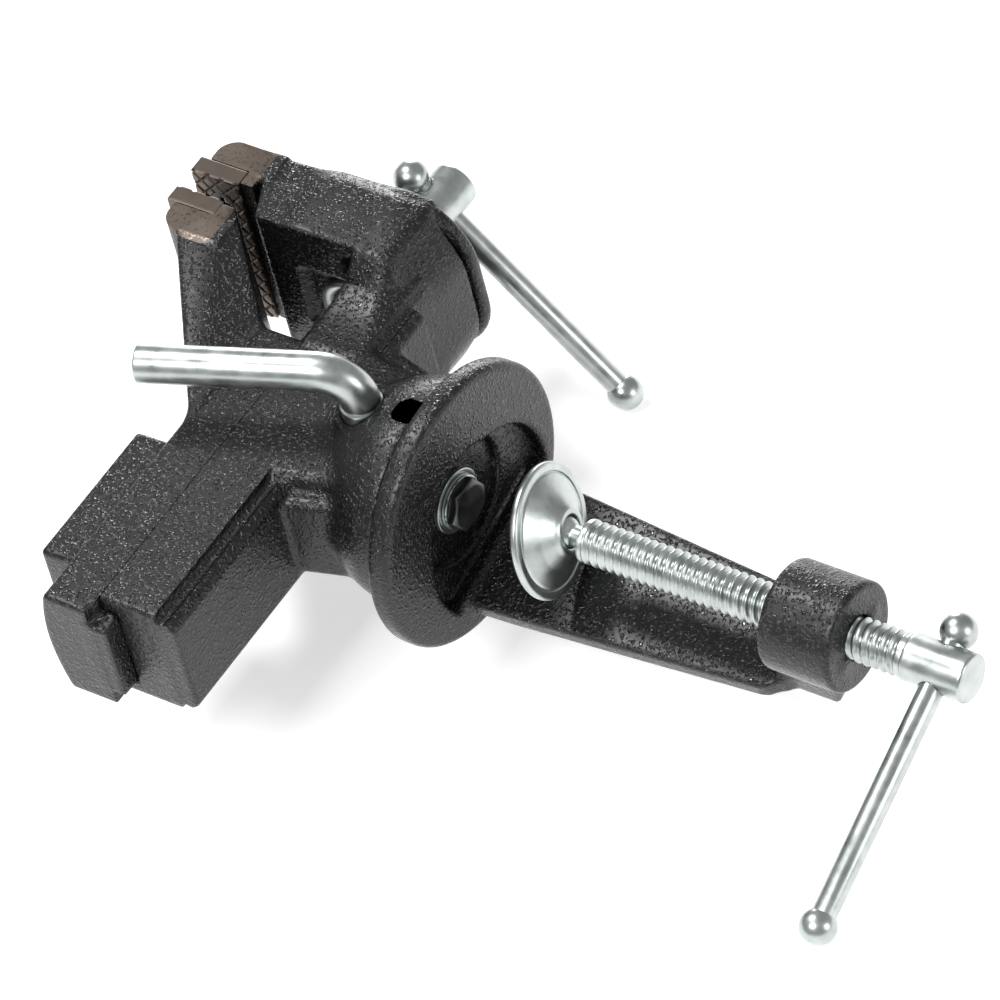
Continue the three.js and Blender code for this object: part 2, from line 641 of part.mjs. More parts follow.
// ---- clamp frame, built with the spine towards +Y and then turned ----
const clampGroup = new THREE.Group();
clampGroup.name = "clamp";
const flange = turned(
  [
    [BOLT_R + BOLT_HOLE_FIT, 0],
    [FLANGE_R - 1, 0],
    [FLANGE_R, 1],
    [FLANGE_R, FLANGE_RIM_Z - 3],
    [FLANGE_R - 3, FLANGE_RIM_Z],
    [NECK_R + 0.8, FLANGE_RIM_Z + 1],
    [NECK_R, SWIVEL_Z - 1.2],
    [NECK_R, SWIVEL_Z],
    [STEP_R, SWIVEL_Z],
    [STEP_R, STEP_TOP_Z],
    [SPIGOT_R, STEP_TOP_Z],
    [SPIGOT_R, SPIGOT_TOP_Z],
    [BOLT_R + BOLT_HOLE_FIT, SPIGOT_TOP_Z],
    [BOLT_R + BOLT_HOLE_FIT, 0],
  ],
  FLANGE_SEG,
);
const mouth = rod(MOUTH_R, -1, MOUTH_TOP_Z, SEG, [MOUTH_OFF_T, MOUTH_OFF_R, 0])
  .subtract(box(-60, 60, SPINE_IN_R, 80, -2, 20))
  .add(rod(POCKET_R, -1, POCKET_TOP_Z, SEG));
const spineOut = SPINE_IN_R + SPINE_T;
const spine = hull(
  [
    [SPINE_TOP_HALF_W, FLANGE_RIM_Z - 2],
    [SPINE_TOP_HALF_W, -4],
    [SPINE_LOW_HALF_W, SPINE_LOW_Z + 6],
    [SPINE_LOW_HALF_W - 5, SPINE_LOW_Z],
  ].flatMap(([h, z]) =>
    [SPINE_IN_R, spineOut].flatMap((y) => [
      [CLAMP_AXIS_T - h, y, z],
      [CLAMP_AXIS_T + h, y, z],
    ]),
  ),
);
const clampAt = [CLAMP_AXIS_T, 0, 0];
const boss = rod(BOSS_R, BOSS_LOW_Z, BOSS_TOP_Z, SEG, clampAt);
const bossWeb = hull(
  [
    [0, BOSS_TOP_Z],
    [0, BOSS_LOW_Z + 0.5],
    [spineOut, BOSS_TOP_Z + 8],
    [spineOut, BOSS_LOW_Z + 12],
  ].flatMap(([y, z]) => [
    [CLAMP_AXIS_T - BOSS_WEB_HALF_W, y, z],
    [CLAMP_AXIS_T + BOSS_WEB_HALF_W, y, z],
  ]),
);
const clampFrame = flange
  .subtract(mouth)
  .add(spine)
  .add(boss)
  .add(bossWeb)
  .subtract(rod(BOLT_R + BOLT_HOLE_FIT, -10, 60, SEG))
  .subtract(rod(SCREW_R + TURN_FIT, BOSS_LOW_Z - 5, BOSS_TOP_Z + 5, SEG, clampAt));
clampGroup.add(node("clamp_frame", clampFrame, HAMMERTONE));

// ---- clamp screw, pad and cross bar ----
const padBallZ = PAD_TOP_Z - PAD_H + PAD_BALL_UP;
const padBackZ = padBallZ - PAD_BALL_UP;
const neckAngle = Math.asin(SCREW_NECK_R / PAD_BALL_R) / deg; // where the neck leaves the ball
const clampHeadTop = CLAMP_BAR_Z + HEAD_L / 2;
const clampAngle = (CLAMP_BAR_ANGLE - CLAMP_YAW) * deg;
const clampDir = [Math.cos(clampAngle), Math.sin(clampAngle), 0];
const clampScrew = turned(
  [
    [0, clampHeadTop - HEAD_L],
    [HEAD_R - 1, clampHeadTop - HEAD_L],
    [HEAD_R, clampHeadTop - HEAD_L + 1],
    [HEAD_R, clampHeadTop],
    [SCREW_R, clampHeadTop + 0.5],
    [SCREW_R, padBackZ - 6],
    [SCREW_NECK_R, padBackZ - 4.5],
    ...onAxis(arc(0, padBallZ, PAD_BALL_R, neckAngle - 90, 90, SOCKET_SEG)),
  ],
  SEG,
  clampAt,
).subtract(crossHole([CLAMP_AXIS_T, 0, CLAMP_BAR_Z], clampDir));
clampGroup.add(node("clamp_screw", clampScrew, ZINC));
// The pad is turned about the ball's centre, so it can hang over on the ball.
const padFace = PAD_H - PAD_BALL_UP;
const padBack = -PAD_BALL_UP;
const socketR = PAD_BALL_R + REST_GAP;
const mouthAngle = Math.acos(PAD_MOUTH_R / socketR) / deg;
const tiltWay = (PAD_TILT_WAY - CLAMP_YAW) * deg;
const padDir = [
  Math.sin(PAD_TILT * deg) * Math.cos(tiltWay),
  Math.sin(PAD_TILT * deg) * Math.sin(tiltWay),
  Math.cos(PAD_TILT * deg),
];
const pad = turned(
  [
    [0, padFace],
    ...onAxis(arc(0, 0, socketR, 90, -mouthAngle, SOCKET_SEG)),
    [PAD_MOUTH_R, padBack],
    [PAD_HUB_R - 1, padBack],
    [PAD_HUB_R + 1.5, padBack + 1.2],
    [PAD_R - 8, padFace - PAD_RIM_T - 2.4],
    [PAD_R - 3.5, padFace - PAD_RIM_T - 0.6],
    [PAD_R, padFace - PAD_RIM_T],
    [PAD_R, padFace - 1],
    [PAD_R - 1, padFace],
    [0, padFace],
  ],
  SEG,
  [CLAMP_AXIS_T, 0, padBallZ],
  padDir,
);
clampGroup.add(node("pressure_pad", pad, ZINC));
const before = nodes.length;
crossBar("clamp", [CLAMP_AXIS_T, 0, CLAMP_BAR_Z], clampDir);
nodes.slice(before).forEach((m) => clampGroup.add(m));
clampGroup.rotation.z = CLAMP_YAW * deg;

const root = new THREE.Group();
root.name = "table_vise";
nodes.filter((m) => !m.parent).forEach((m) => root.add(m));
root.add(clampGroup);
export default root;
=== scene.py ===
# %% [markdown]
# # A clamp-on table vise
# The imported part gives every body, joint and mounting face of the vise as plain faceted solids.
# This file keeps those places and sizes and gives each piece the skin that the real one has:
# sand-cast iron under black hammer paint, bright zinc on everything that is turned, bent or threaded,
# and bare ground steel where the jaws were machined after painting.

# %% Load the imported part
import math

import bpy
import numpy as np
from mathutils import Matrix, Vector


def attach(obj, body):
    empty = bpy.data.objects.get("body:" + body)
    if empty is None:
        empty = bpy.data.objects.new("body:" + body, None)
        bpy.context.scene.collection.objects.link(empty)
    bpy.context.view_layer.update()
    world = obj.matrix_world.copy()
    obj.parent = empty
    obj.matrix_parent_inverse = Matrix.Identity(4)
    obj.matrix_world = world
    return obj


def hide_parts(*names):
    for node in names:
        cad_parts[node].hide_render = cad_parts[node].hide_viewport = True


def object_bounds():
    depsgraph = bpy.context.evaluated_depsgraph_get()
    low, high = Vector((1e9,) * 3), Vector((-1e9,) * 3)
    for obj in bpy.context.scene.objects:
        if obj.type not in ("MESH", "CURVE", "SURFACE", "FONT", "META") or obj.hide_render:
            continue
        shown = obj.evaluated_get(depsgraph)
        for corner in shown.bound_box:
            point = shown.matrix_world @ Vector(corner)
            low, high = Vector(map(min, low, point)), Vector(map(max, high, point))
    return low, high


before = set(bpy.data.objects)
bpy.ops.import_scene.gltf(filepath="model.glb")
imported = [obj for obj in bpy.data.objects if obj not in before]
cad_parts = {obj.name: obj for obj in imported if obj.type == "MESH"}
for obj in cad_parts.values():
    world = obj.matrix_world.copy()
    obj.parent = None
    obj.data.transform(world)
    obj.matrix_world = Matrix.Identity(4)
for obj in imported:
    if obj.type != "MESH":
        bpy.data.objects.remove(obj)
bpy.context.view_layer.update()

# %% [markdown]
# ## How a casting is described
# A casting has no exact edges: the sand rounds every corner and fills every inside corner.
# Boolean solids with a bevel on top could do it, but the fillet where a round neck meets a tilted
# wall defeats most bevels. So a casting is written here as a field: a function that gives, for any
# point, about how far it is outside the iron (negative inside). Adding two fields with a round
# joint is what a pattern maker does with wax in the corner. The surface is where the field is zero.

# %% Fields for simple shapes, all in millimetres
def brick(x, y, z, low, high, r):
    """Distance to a box: how far the point is past each pair of walls, combined at the corners;
    r rounds every edge."""
    past = [abs(v - (a + b) / 2) - (b - a) / 2 + r for v, a, b in zip((x, y, z), low, high)]
    out = np.sqrt(sum(np.maximum(p, 0) ** 2 for p in past))
    return out + np.minimum(np.maximum(np.maximum(past[0], past[1]), past[2]), 0) - r


def drum(distance, height, radius, low, high, r):
    """Distance to a cylinder from the distance to its axis and the height along it;
    r rounds its two rims."""
    a = distance - radius + r
    b = abs(height - (low + high) / 2) - (high - low) / 2 + r
    return np.hypot(np.maximum(a, 0), np.maximum(b, 0)) + np.minimum(np.maximum(a, b), 0) - r


def join(a, b, r):
    """Both shapes as one, with a fillet of radius r in the corner between them."""
    return np.maximum(r, np.minimum(a, b)) - np.hypot(np.maximum(r - a, 0), np.maximum(r - b, 0))


def meet(fields, r):
    """What the shapes have in common, with its outside corners rounded by r."""
    deepest = fields[0]
    total = 0
    for f in fields:
        deepest = np.maximum(deepest, f)
        total = total + np.maximum(f + r, 0) ** 2
    return np.minimum(deepest, -r) + np.sqrt(total)


def cut(a, b, r):
    """The first shape less the second, with the rim of the cut rounded by r."""
    return meet([a, -b], r)


def facets(points):
    """The planes (normal, offset) of the flat-sided solid that wraps the points: each plane through three
    of the points that has all the others on one side of it."""
    p = np.array(points, float)
    found = []
    count = len(p)
    for i in range(count):
        for j in range(i + 1, count):
            for k in range(j + 1, count):
                n = np.cross(p[j] - p[i], p[k] - p[i])
                if np.linalg.norm(n) < 1e-6:
                    continue
                n = n / np.linalg.norm(n)
                side = (p - p[i]) @ n
                if side.max() > 1e-6 and side.min() < -1e-6:
                    continue
                if side.max() > 1e-6:
                    n = -n
                plane = (*n, n @ p[i])
                if not any(np.allclose(plane, q, atol=1e-5) for q in found):
                    found.append(plane)
    return found


def wrapped(x, y, z, planes, r):
    """Distance to the flat-sided solid with those planes, its edges rounded by r."""
    return meet([x * a + y * b + z * c - d for a, b, c, d in planes], r)


def smooth(v, a, b):
    """Rises from 0 at a to 1 at b without a corner at either end."""
    t = np.clip((v - a) / (b - a), 0, 1)
    return t * t * (3 - 2 * t)


# %% [markdown]
# ## From a field to a mesh
# A grid of points is laid over the piece and the field is worked out at all of them at once.
# Each grid cell that the surface passes through gets one vertex, where the flat pieces of surface
# through the crossings on its edges come nearest to meeting, so a machined edge stays sharp. Each
# grid edge that the surface crosses gets one four-sided face between the four cells round it. Then
# each vertex slides along the field's slope until the field there is zero. The mesh is closed and
# faces outwards because the field has an inside and an outside.

# %% Meshing a field
def mesh_from_arrays(name, vertices_mm, faces):
    """Puts vertices (in millimetres) and faces of three or four corners into a new object."""
    mesh = bpy.data.meshes.new(name)
    mesh.from_pydata((np.asarray(vertices_mm, float) / 1000).tolist(), [], faces)
    mesh.update()
    mesh.shade_smooth()
    piece = bpy.data.objects.new(name, mesh)
    bpy.context.scene.collection.objects.link(piece)
    return piece


def slope(field, v, e=0.02):
    """How fast the field rises along x, y and z at each point."""
    return np.stack([(field(*(v + d).T) - field(*(v - d).T)) / (2 * e) for d in np.eye(3) * e], axis=1)


def settle(field, v, step, rounds):
    """Moves each point along the field's slope by the field's value over the slope's length."""
    for _ in range(rounds):
        f = field(*v.T)
        g = slope(field, v)
        move = (f / np.maximum((g**2).sum(1), 0.2))[:, None] * g
        length = np.linalg.norm(move, axis=1, keepdims=True)
        v = v - move * np.minimum(1, 0.6 * step / np.maximum(length, 1e-9))
    return v


def corner_points(field, cells, points, middle, step):
    """For each cell, the point nearest to all the tangent planes through its crossings: least squares, held
    near the middle of the crossings where the planes leave it free, and kept within the cell's reach."""
    points = settle(field, points, step, 1)
    n = slope(field, points)
    n /= np.maximum(np.linalg.norm(n, axis=1, keepdims=True), 1e-9)
    away = (n * (points - middle[cells])).sum(1)
    total = lambda w: np.bincount(cells, weights=w, minlength=len(middle))
    right = np.stack([total(n[:, i] * away) for i in range(3)], 1)
    left = np.stack([np.stack([total(n[:, i] * n[:, j]) for j in range(3)], 1) for i in range(3)], 1)
    move = np.linalg.solve(left + 0.03 * np.eye(3), right[:, :, None])[:, :, 0]
    return middle + np.clip(move, -0.6 * step, 0.6 * step)


def skin(name, field, low, high, step):
    """The surface where the field is zero, as a mesh of four-sided faces about step millimetres wide."""
    axes = [np.arange(a - 2 * step, b + 3 * step, step) for a, b in zip(low, high)]
    x, y, z = axes[0][:, None, None], axes[1][None, :, None], axes[2][None, None, :]
    f = np.asarray(field(x, y, z)) + np.zeros((len(axes[0]), len(axes[1]), len(axes[2])))
    inside = f < 0
    cells = tuple(n - 1 for n in f.shape)
    corner = lambda a, i, j, k: a[i : i + cells[0], j : j + cells[1], k : k + cells[2]]
    offsets = [(i, j, k) for i in (0, 1) for j in (0, 1) for k in (0, 1)]
    count = sum(corner(inside, *o).astype(np.int8) for o in offsets)
    used = (count > 0) & (count < 8)
    where = np.argwhere(used)
    number = np.full(cells, -1, np.int64)
    number[used] = np.arange(len(where))
    total, crossings = np.zeros((len(where), 3)), np.zeros(len(where))
    start = np.array([a[0] for a in axes])
    owners, points = [], []
    for a in offsets:
        for axis in range(3):
            if a[axis]:
                continue
            b = tuple(c + (i == axis) for i, c in enumerate(a))
            fa, fb = corner(f, *a)[used], corner(f, *b)[used]
            crosses = (fa < 0) != (fb < 0)
            t = np.where(crosses, fa / np.where(crosses, fa - fb, 1), 0)
            at = np.array(a, float) + t[:, None] * np.eye(3)[axis]
            total += np.where(crosses[:, None], at, 0)
            crossings += crosses
            owners.append(np.flatnonzero(crosses))
            points.append(start + (where + at)[crosses] * step)
    middle = start + (where + total / crossings[:, None]) * step
    v = corner_points(field, np.concatenate(owners), np.concatenate(points), middle, step)
    v = settle(field, v, step, 2)
    faces = []
    for axis in range(3):
        first = [slice(None)] * 3
        last = [slice(None)] * 3
        first[axis], last[axis] = slice(0, -1), slice(1, None)
        fa, fb = inside[tuple(first)], inside[tuple(last)]
        edges = np.argwhere(fa != fb)
        p, q = (axis + 1) % 3, (axis + 2) % 3
        keep = (edges[:, p] > 0) & (edges[:, q] > 0)
        edges = edges[keep]
        leaving = fa[tuple(edges.T)]
        ring = []
        for dp, dq in ((-1, -1), (0, -1), (0, 0), (-1, 0)):
            c = edges.copy()
            c[:, p] += dp
            c[:, q] += dq
            ring.append(number[tuple(c.T)])
        quads = np.stack(ring, axis=1)
        quads[~leaving] = quads[~leaving][:, ::-1]
        faces.append(quads)
    faces = np.concatenate(faces)
    piece = mesh_from_arrays(name, v, faces.tolist())
    piece.data.set_sharp_from_angle(angle=math.radians(48))
    print(f"{name}: {len(v)} vertices, {2 * len(faces)} triangles")
    return piece


# %% [markdown]
# ## Colour and node helpers
# Colours are written as they look on a screen and turned to linear light by one function.
# One small function adds a node, sets its values and links its inputs. All patterns read the
# piece's own coordinates in metres, so a pattern of 1.5 mm cells has a scale of 1 / 0.0015.

# %% Colour and node helpers
def srgb(code):
    """A hex colour such as 0x8a8178 as linear red, green, blue and alpha."""
    parts = np.array([(code >> s & 255) / 255 for s in (16, 8, 0)])
    linear = np.where(parts <= 0.04045, parts / 12.92, ((parts + 0.055) / 1.055) ** 2.4)
    return (*linear.tolist(), 1.0)


def add(tree, kind, values=(), links=(), **settings):
    """Adds a node: its settings by name, its input values, and its links as {input: (node, output)}."""
    n = tree.nodes.new(kind)
    for key, value in settings.items():
        setattr(n, key, value)
    for key, value in dict(values).items():
        n.inputs[key].default_value = value
    for key, (source, output) in dict(links).items():
        tree.links.new(source.outputs[output], n.inputs[key])
    return n


def ramp(tree, source, output, stops):
    """A colour ramp through (position, colour) stops."""
    n = add(tree, "ShaderNodeValToRGB", links={"Fac": (source, output)})
    ends = n.color_ramp.elements
    for i, (position, colour) in enumerate(stops):
        stop = ends[i] if i < 2 else ends.new(position)
        stop.position, stop.color = position, colour
    return n


def grey(level):
    return (level, level, level, 1.0)


def blank(name):
    """A material with only its output and one main shader, and the piece's coordinates."""
    material = bpy.data.materials.new(name)
    material.use_nodes = True
    tree = material.node_tree
    tree.nodes.clear()
    shader = add(tree, "ShaderNodeBsdfPrincipled")
    add(tree, "ShaderNodeOutputMaterial", links={"Surface": (shader, "BSDF")})
    return material, tree, shader, add(tree, "ShaderNodeTexCoord")


# %% [markdown]
# ## Black hammer paint
# Hammer paint is an alkyd enamel with a silicone that makes the wet film crawl into small glossy
# islands with darker pits between them, here about 1.1 mm across. The eye reads it as a black
# surface whose highlight breaks into worms and dots. So the pattern is mostly in the bump: two
# stretched noises bend a cell pattern, and its grooves are also a little darker and rougher.
# The jaws are ground bright on their outer ends after painting, so the paint stops there.

# %% Black hammer paint
PIT = 0.0011  # metres, one island of the paint
BARE_Y = 0.0312  # the jaws' ends are ground off beyond this
BARE_Z = 0.1212  # and above this height


def ground_bits(tree, at):
    """Colour of ground steel, and its long fine scratches: about 0.3 mm apart, with faint clouds of colour."""
    long = add(
        tree, "ShaderNodeMapping", values={"Scale": (1, 1, 14), "Rotation": (0, 0.9, 0)},
        links={"Vector": (at, "Object")},
    )
    scratch = add(
        tree, "ShaderNodeTexNoise", values={"Scale": 1 / 0.004, "Detail": 3.0, "Roughness": 0.6},
        links={"Vector": (long, "Vector")},
    )
    cloud = add(
        tree, "ShaderNodeTexNoise", values={"Scale": 1 / 0.02, "Detail": 2.0},
        links={"Vector": (at, "Object")},
    )
    tint = ramp(tree, cloud, "Fac", [(0.3, srgb(0x5F564F)), (0.7, srgb(0x756B63))])
    fine = ramp(tree, scratch, "Fac", [(0.35, grey(0.86)), (0.65, grey(1.0))])
    colour = add(
        tree, "ShaderNodeMix", data_type="RGBA", blend_type="MULTIPLY",
        values={"Factor": 1.0},
    )
    tree.links.new(tint.outputs["Color"], colour.inputs["A"])
    tree.links.new(fine.outputs["Color"], colour.inputs["B"])
    return colour, scratch


def hammer_paint(name, bare_ends):
    material, tree, shader, at = blank(name)
    wobble = add(
        tree, "ShaderNodeTexNoise", values={"Scale": 1 / (1.6 * PIT), "Detail": 2.0},
        links={"Vector": (at, "Object")},
    )
    bent = add(
        tree, "ShaderNodeVectorMath", operation="MULTIPLY_ADD",
        values={1: (PIT * 1.5,) * 3},
        links={0: (wobble, "Color"), 2: (at, "Object")},
    )
    islands = add(
        tree, "ShaderNodeTexVoronoi", feature="SMOOTH_F1",
        values={"Scale": 1 / (1.25 * PIT), "Smoothness": 0.35, "Randomness": 1.0},
        links={"Vector": (bent, "Vector")},
    )
    worms = add(
        tree, "ShaderNodeTexNoise", values={"Scale": 1 / (0.95 * PIT), "Detail": 1.0},
        links={"Vector": (bent, "Vector")},
    )
    height = add(
        tree, "ShaderNodeMath", operation="MULTIPLY_ADD", values={1: -0.7},
        links={0: (islands, "Distance"), 2: (worms, "Fac")},
    )
    film = ramp(tree, height, "Value", [(0.12, grey(0.0)), (0.5, grey(1.0))])
    sand = add(
        tree, "ShaderNodeTexNoise", values={"Scale": 1 / 0.009, "Detail": 3.0},
        links={"Vector": (at, "Object")},
    )
    cast = add(
        tree, "ShaderNodeBump", values={"Strength": 0.5, "Distance": 0.0005},
        links={"Height": (sand, "Fac")},
    )
    bump = add(
        tree, "ShaderNodeBump", values={"Strength": 0.9, "Distance": 0.0003},
        links={"Height": (film, "Color"), "Normal": (cast, "Normal")},
    )
    paint = ramp(tree, film, "Color", [(0.0, srgb(0x060606)), (1.0, srgb(0x181817))])
    gloss = ramp(tree, film, "Color", [(0.0, grey(0.38)), (1.0, grey(0.13))])
    if bare_ends:
        colour, scratch = ground_bits(tree, at)
        axis = add(tree, "ShaderNodeSeparateXYZ", links={"Vector": (at, "Object")})
        side = add(tree, "ShaderNodeMath", operation="ABSOLUTE", links={0: (axis, "Y")})
        out = add(
            tree, "ShaderNodeMath", operation="GREATER_THAN", values={1: BARE_Y},
            links={0: (side, "Value")},
        )
        high = add(
            tree, "ShaderNodeMath", operation="GREATER_THAN", values={1: BARE_Z},
            links={0: (axis, "Z")},
        )
        bare = add(
            tree, "ShaderNodeMath", operation="MULTIPLY",
            links={0: (out, "Value"), 1: (high, "Value")},
        )
        mixed = add(
            tree, "ShaderNodeMix", data_type="RGBA",
            links={"Factor": (bare, "Value")},
        )
        tree.links.new(paint.outputs["Color"], mixed.inputs["A"])
        tree.links.new(colour.outputs["Result"], mixed.inputs["B"])
        tree.links.new(mixed.outputs["Result"], shader.inputs["Base Color"])
        tree.links.new(bare.outputs["Value"], shader.inputs["Metallic"])
        rough = add(
            tree, "ShaderNodeMath", operation="MULTIPLY_ADD", values={1: 0.18},
            links={0: (bare, "Value"), 2: (gloss, "Color")},
        )
        tree.links.new(rough.outputs["Value"], shader.inputs["Roughness"])
        flat = add(
            tree, "ShaderNodeMath", operation="MULTIPLY_ADD", values={1: -0.85, 2: 0.9},
            links={0: (bare, "Value")},
        )
        tree.links.new(flat.outputs["Value"], bump.inputs["Strength"])
    else:
        tree.links.new(paint.outputs["Color"], shader.inputs["Base Color"])
        tree.links.new(gloss.outputs["Color"], shader.inputs["Roughness"])
    tree.links.new(bump.outputs["Normal"], shader.inputs["Normal"])
    shader.inputs["IOR"].default_value = 1.5
    return material


PAINT = hammer_paint("black_hammer_enamel", False)
PAINT_JAW = hammer_paint("black_hammer_enamel_with_ground_ends", True)
print("paint islands:", PIT * 1000, "mm")

# %% [markdown]
# ## Zinc, ground steel and brass
# Bright zinc plating on a turned or drawn bar is a slightly blue, soft mirror. It is not quite
# even: the plating bath leaves clouds some millimetres across, and the bar below keeps its drawing
# lines. The jaw plates are ground steel with a faint brown of oil. The split pin is yellow.

# %% Metals
def metal(name, dark, light, rough, cloud_mm, grain_mm, grain_depth_mm):
    """A metal whose colour and roughness drift in clouds, with a fine grain in the bump."""
    material, tree, shader, at = blank(name)
    cloud = add(
        tree, "ShaderNodeTexNoise", values={"Scale": 1000 / cloud_mm, "Detail": 3.0},
        links={"Vector": (at, "Object")},
    )
    grain = add(
        tree, "ShaderNodeTexNoise", values={"Scale": 1000 / grain_mm, "Detail": 2.0},
        links={"Vector": (at, "Object")},
    )
    tint = ramp(tree, cloud, "Fac", [(0.3, srgb(dark)), (0.7, srgb(light))])
    shine = ramp(tree, cloud, "Fac", [(0.25, grey(rough - 0.07)), (0.75, grey(rough + 0.07))])
    bump = add(
        tree, "ShaderNodeBump", values={"Strength": 0.4, "Distance": grain_depth_mm / 1000},
        links={"Height": (grain, "Fac")},
    )
    shader.inputs["Metallic"].default_value = 1.0
    tree.links.new(tint.outputs["Color"], shader.inputs["Base Color"])
    tree.links.new(shine.outputs["Color"], shader.inputs["Roughness"])
    tree.links.new(bump.outputs["Normal"], shader.inputs["Normal"])
    return material


ZINC = metal("bright_zinc_plate", 0xA6ADAC, 0xC2C8C6, 0.32, 6, 0.5, 0.02)
DULL_ZINC = metal("dull_zinc_plate", 0x4C4E4C, 0x6E716E, 0.4, 5, 0.5, 0.03)
BRASS = metal("yellow_zinc_split_pin", 0xA98F4E, 0xC9B274, 0.3, 3, 0.4, 0.02)
SCREW_STEEL = metal("oiled_screw_steel", 0x3A3B3D, 0x55565A, 0.35, 4, 0.5, 0.03)


def ground_steel(name):
    material, tree, shader, at = blank(name)
    colour, scratch = ground_bits(tree, at)
    bump = add(
        tree, "ShaderNodeBump", values={"Strength": 0.3, "Distance": 0.00002},
        links={"Height": (scratch, "Fac")},
    )
    shader.inputs["Metallic"].default_value = 1.0
    shader.inputs["Roughness"].default_value = 0.42
    tree.links.new(colour.outputs["Result"], shader.inputs["Base Color"])
    tree.links.new(bump.outputs["Normal"], shader.inputs["Normal"])
    return material


GROUND = ground_steel("ground_jaw_steel")
print("metals:", ZINC.name, BRASS.name, SCREW_STEEL.name, GROUND.name)


def finish_piece(piece, material, body, slot, *nodes):
    """Gives a piece its material and its body, and hides the CAD nodes it stands for. slot is not used."""
    piece.data.materials.append(material)
    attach(piece, body)
    if nodes:
        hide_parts(*nodes)
    return piece


# %% [markdown]
# ## The fixed casting
# One iron casting: a round neck that turns on the clamp, a rail that the slide runs on, and an
# upright that swells into a rounded hump round the screw and carries the fixed jaw.
# The hump is a rounded rectangle seen along the screw whose width and depth grow from the rail's
# to its own; the upright leans in from the jaw to the wall that the screw comes through.

# %% The fixed casting
AXIS_Z = 82.5  # height of the main screw
SEAM_Z = 74.4  # the slide runs on this plane
WALL_X = 55  # inner wall of the upright
OUTER_X = 84  # outer face of the upright
GRIP_X = 64.2  # gripping face of the fixed jaw
HALF_JAW = 31.7
PLATE_T = 6.7
PLATE_LOW_Z = 126.4
JAW_TOP_Z = 145
BLOCK_TOP_Z = 141.5
BLOCK_LOW_Z = 121.5
BLOCK_T = 10.4
RIM_CORNER = 26


def jaw_block(x, y, z, back, sign):
    """The casting behind and under a jaw plate: an upper block behind the plate with one large outer corner,
    and a lower step that the plate rests on."""
    along = (x - back) * sign
    upper = meet([-along, along - BLOCK_T, z - BLOCK_TOP_Z, 118 - z, abs(y) - HALF_JAW], 0.15)
    reach = np.hypot(np.maximum(along - BLOCK_T + 7, 0), np.maximum(z - BLOCK_TOP_Z + 7, 0)) - 7
    upper = np.maximum(upper, reach)
    lower = meet(
        [-(along + PLATE_T - 1.5), along - BLOCK_T, z - PLATE_LOW_Z + 0.15, BLOCK_LOW_Z - z, abs(y) - HALF_JAW], 0.2
    )
    return join(upper, lower, 0.3)


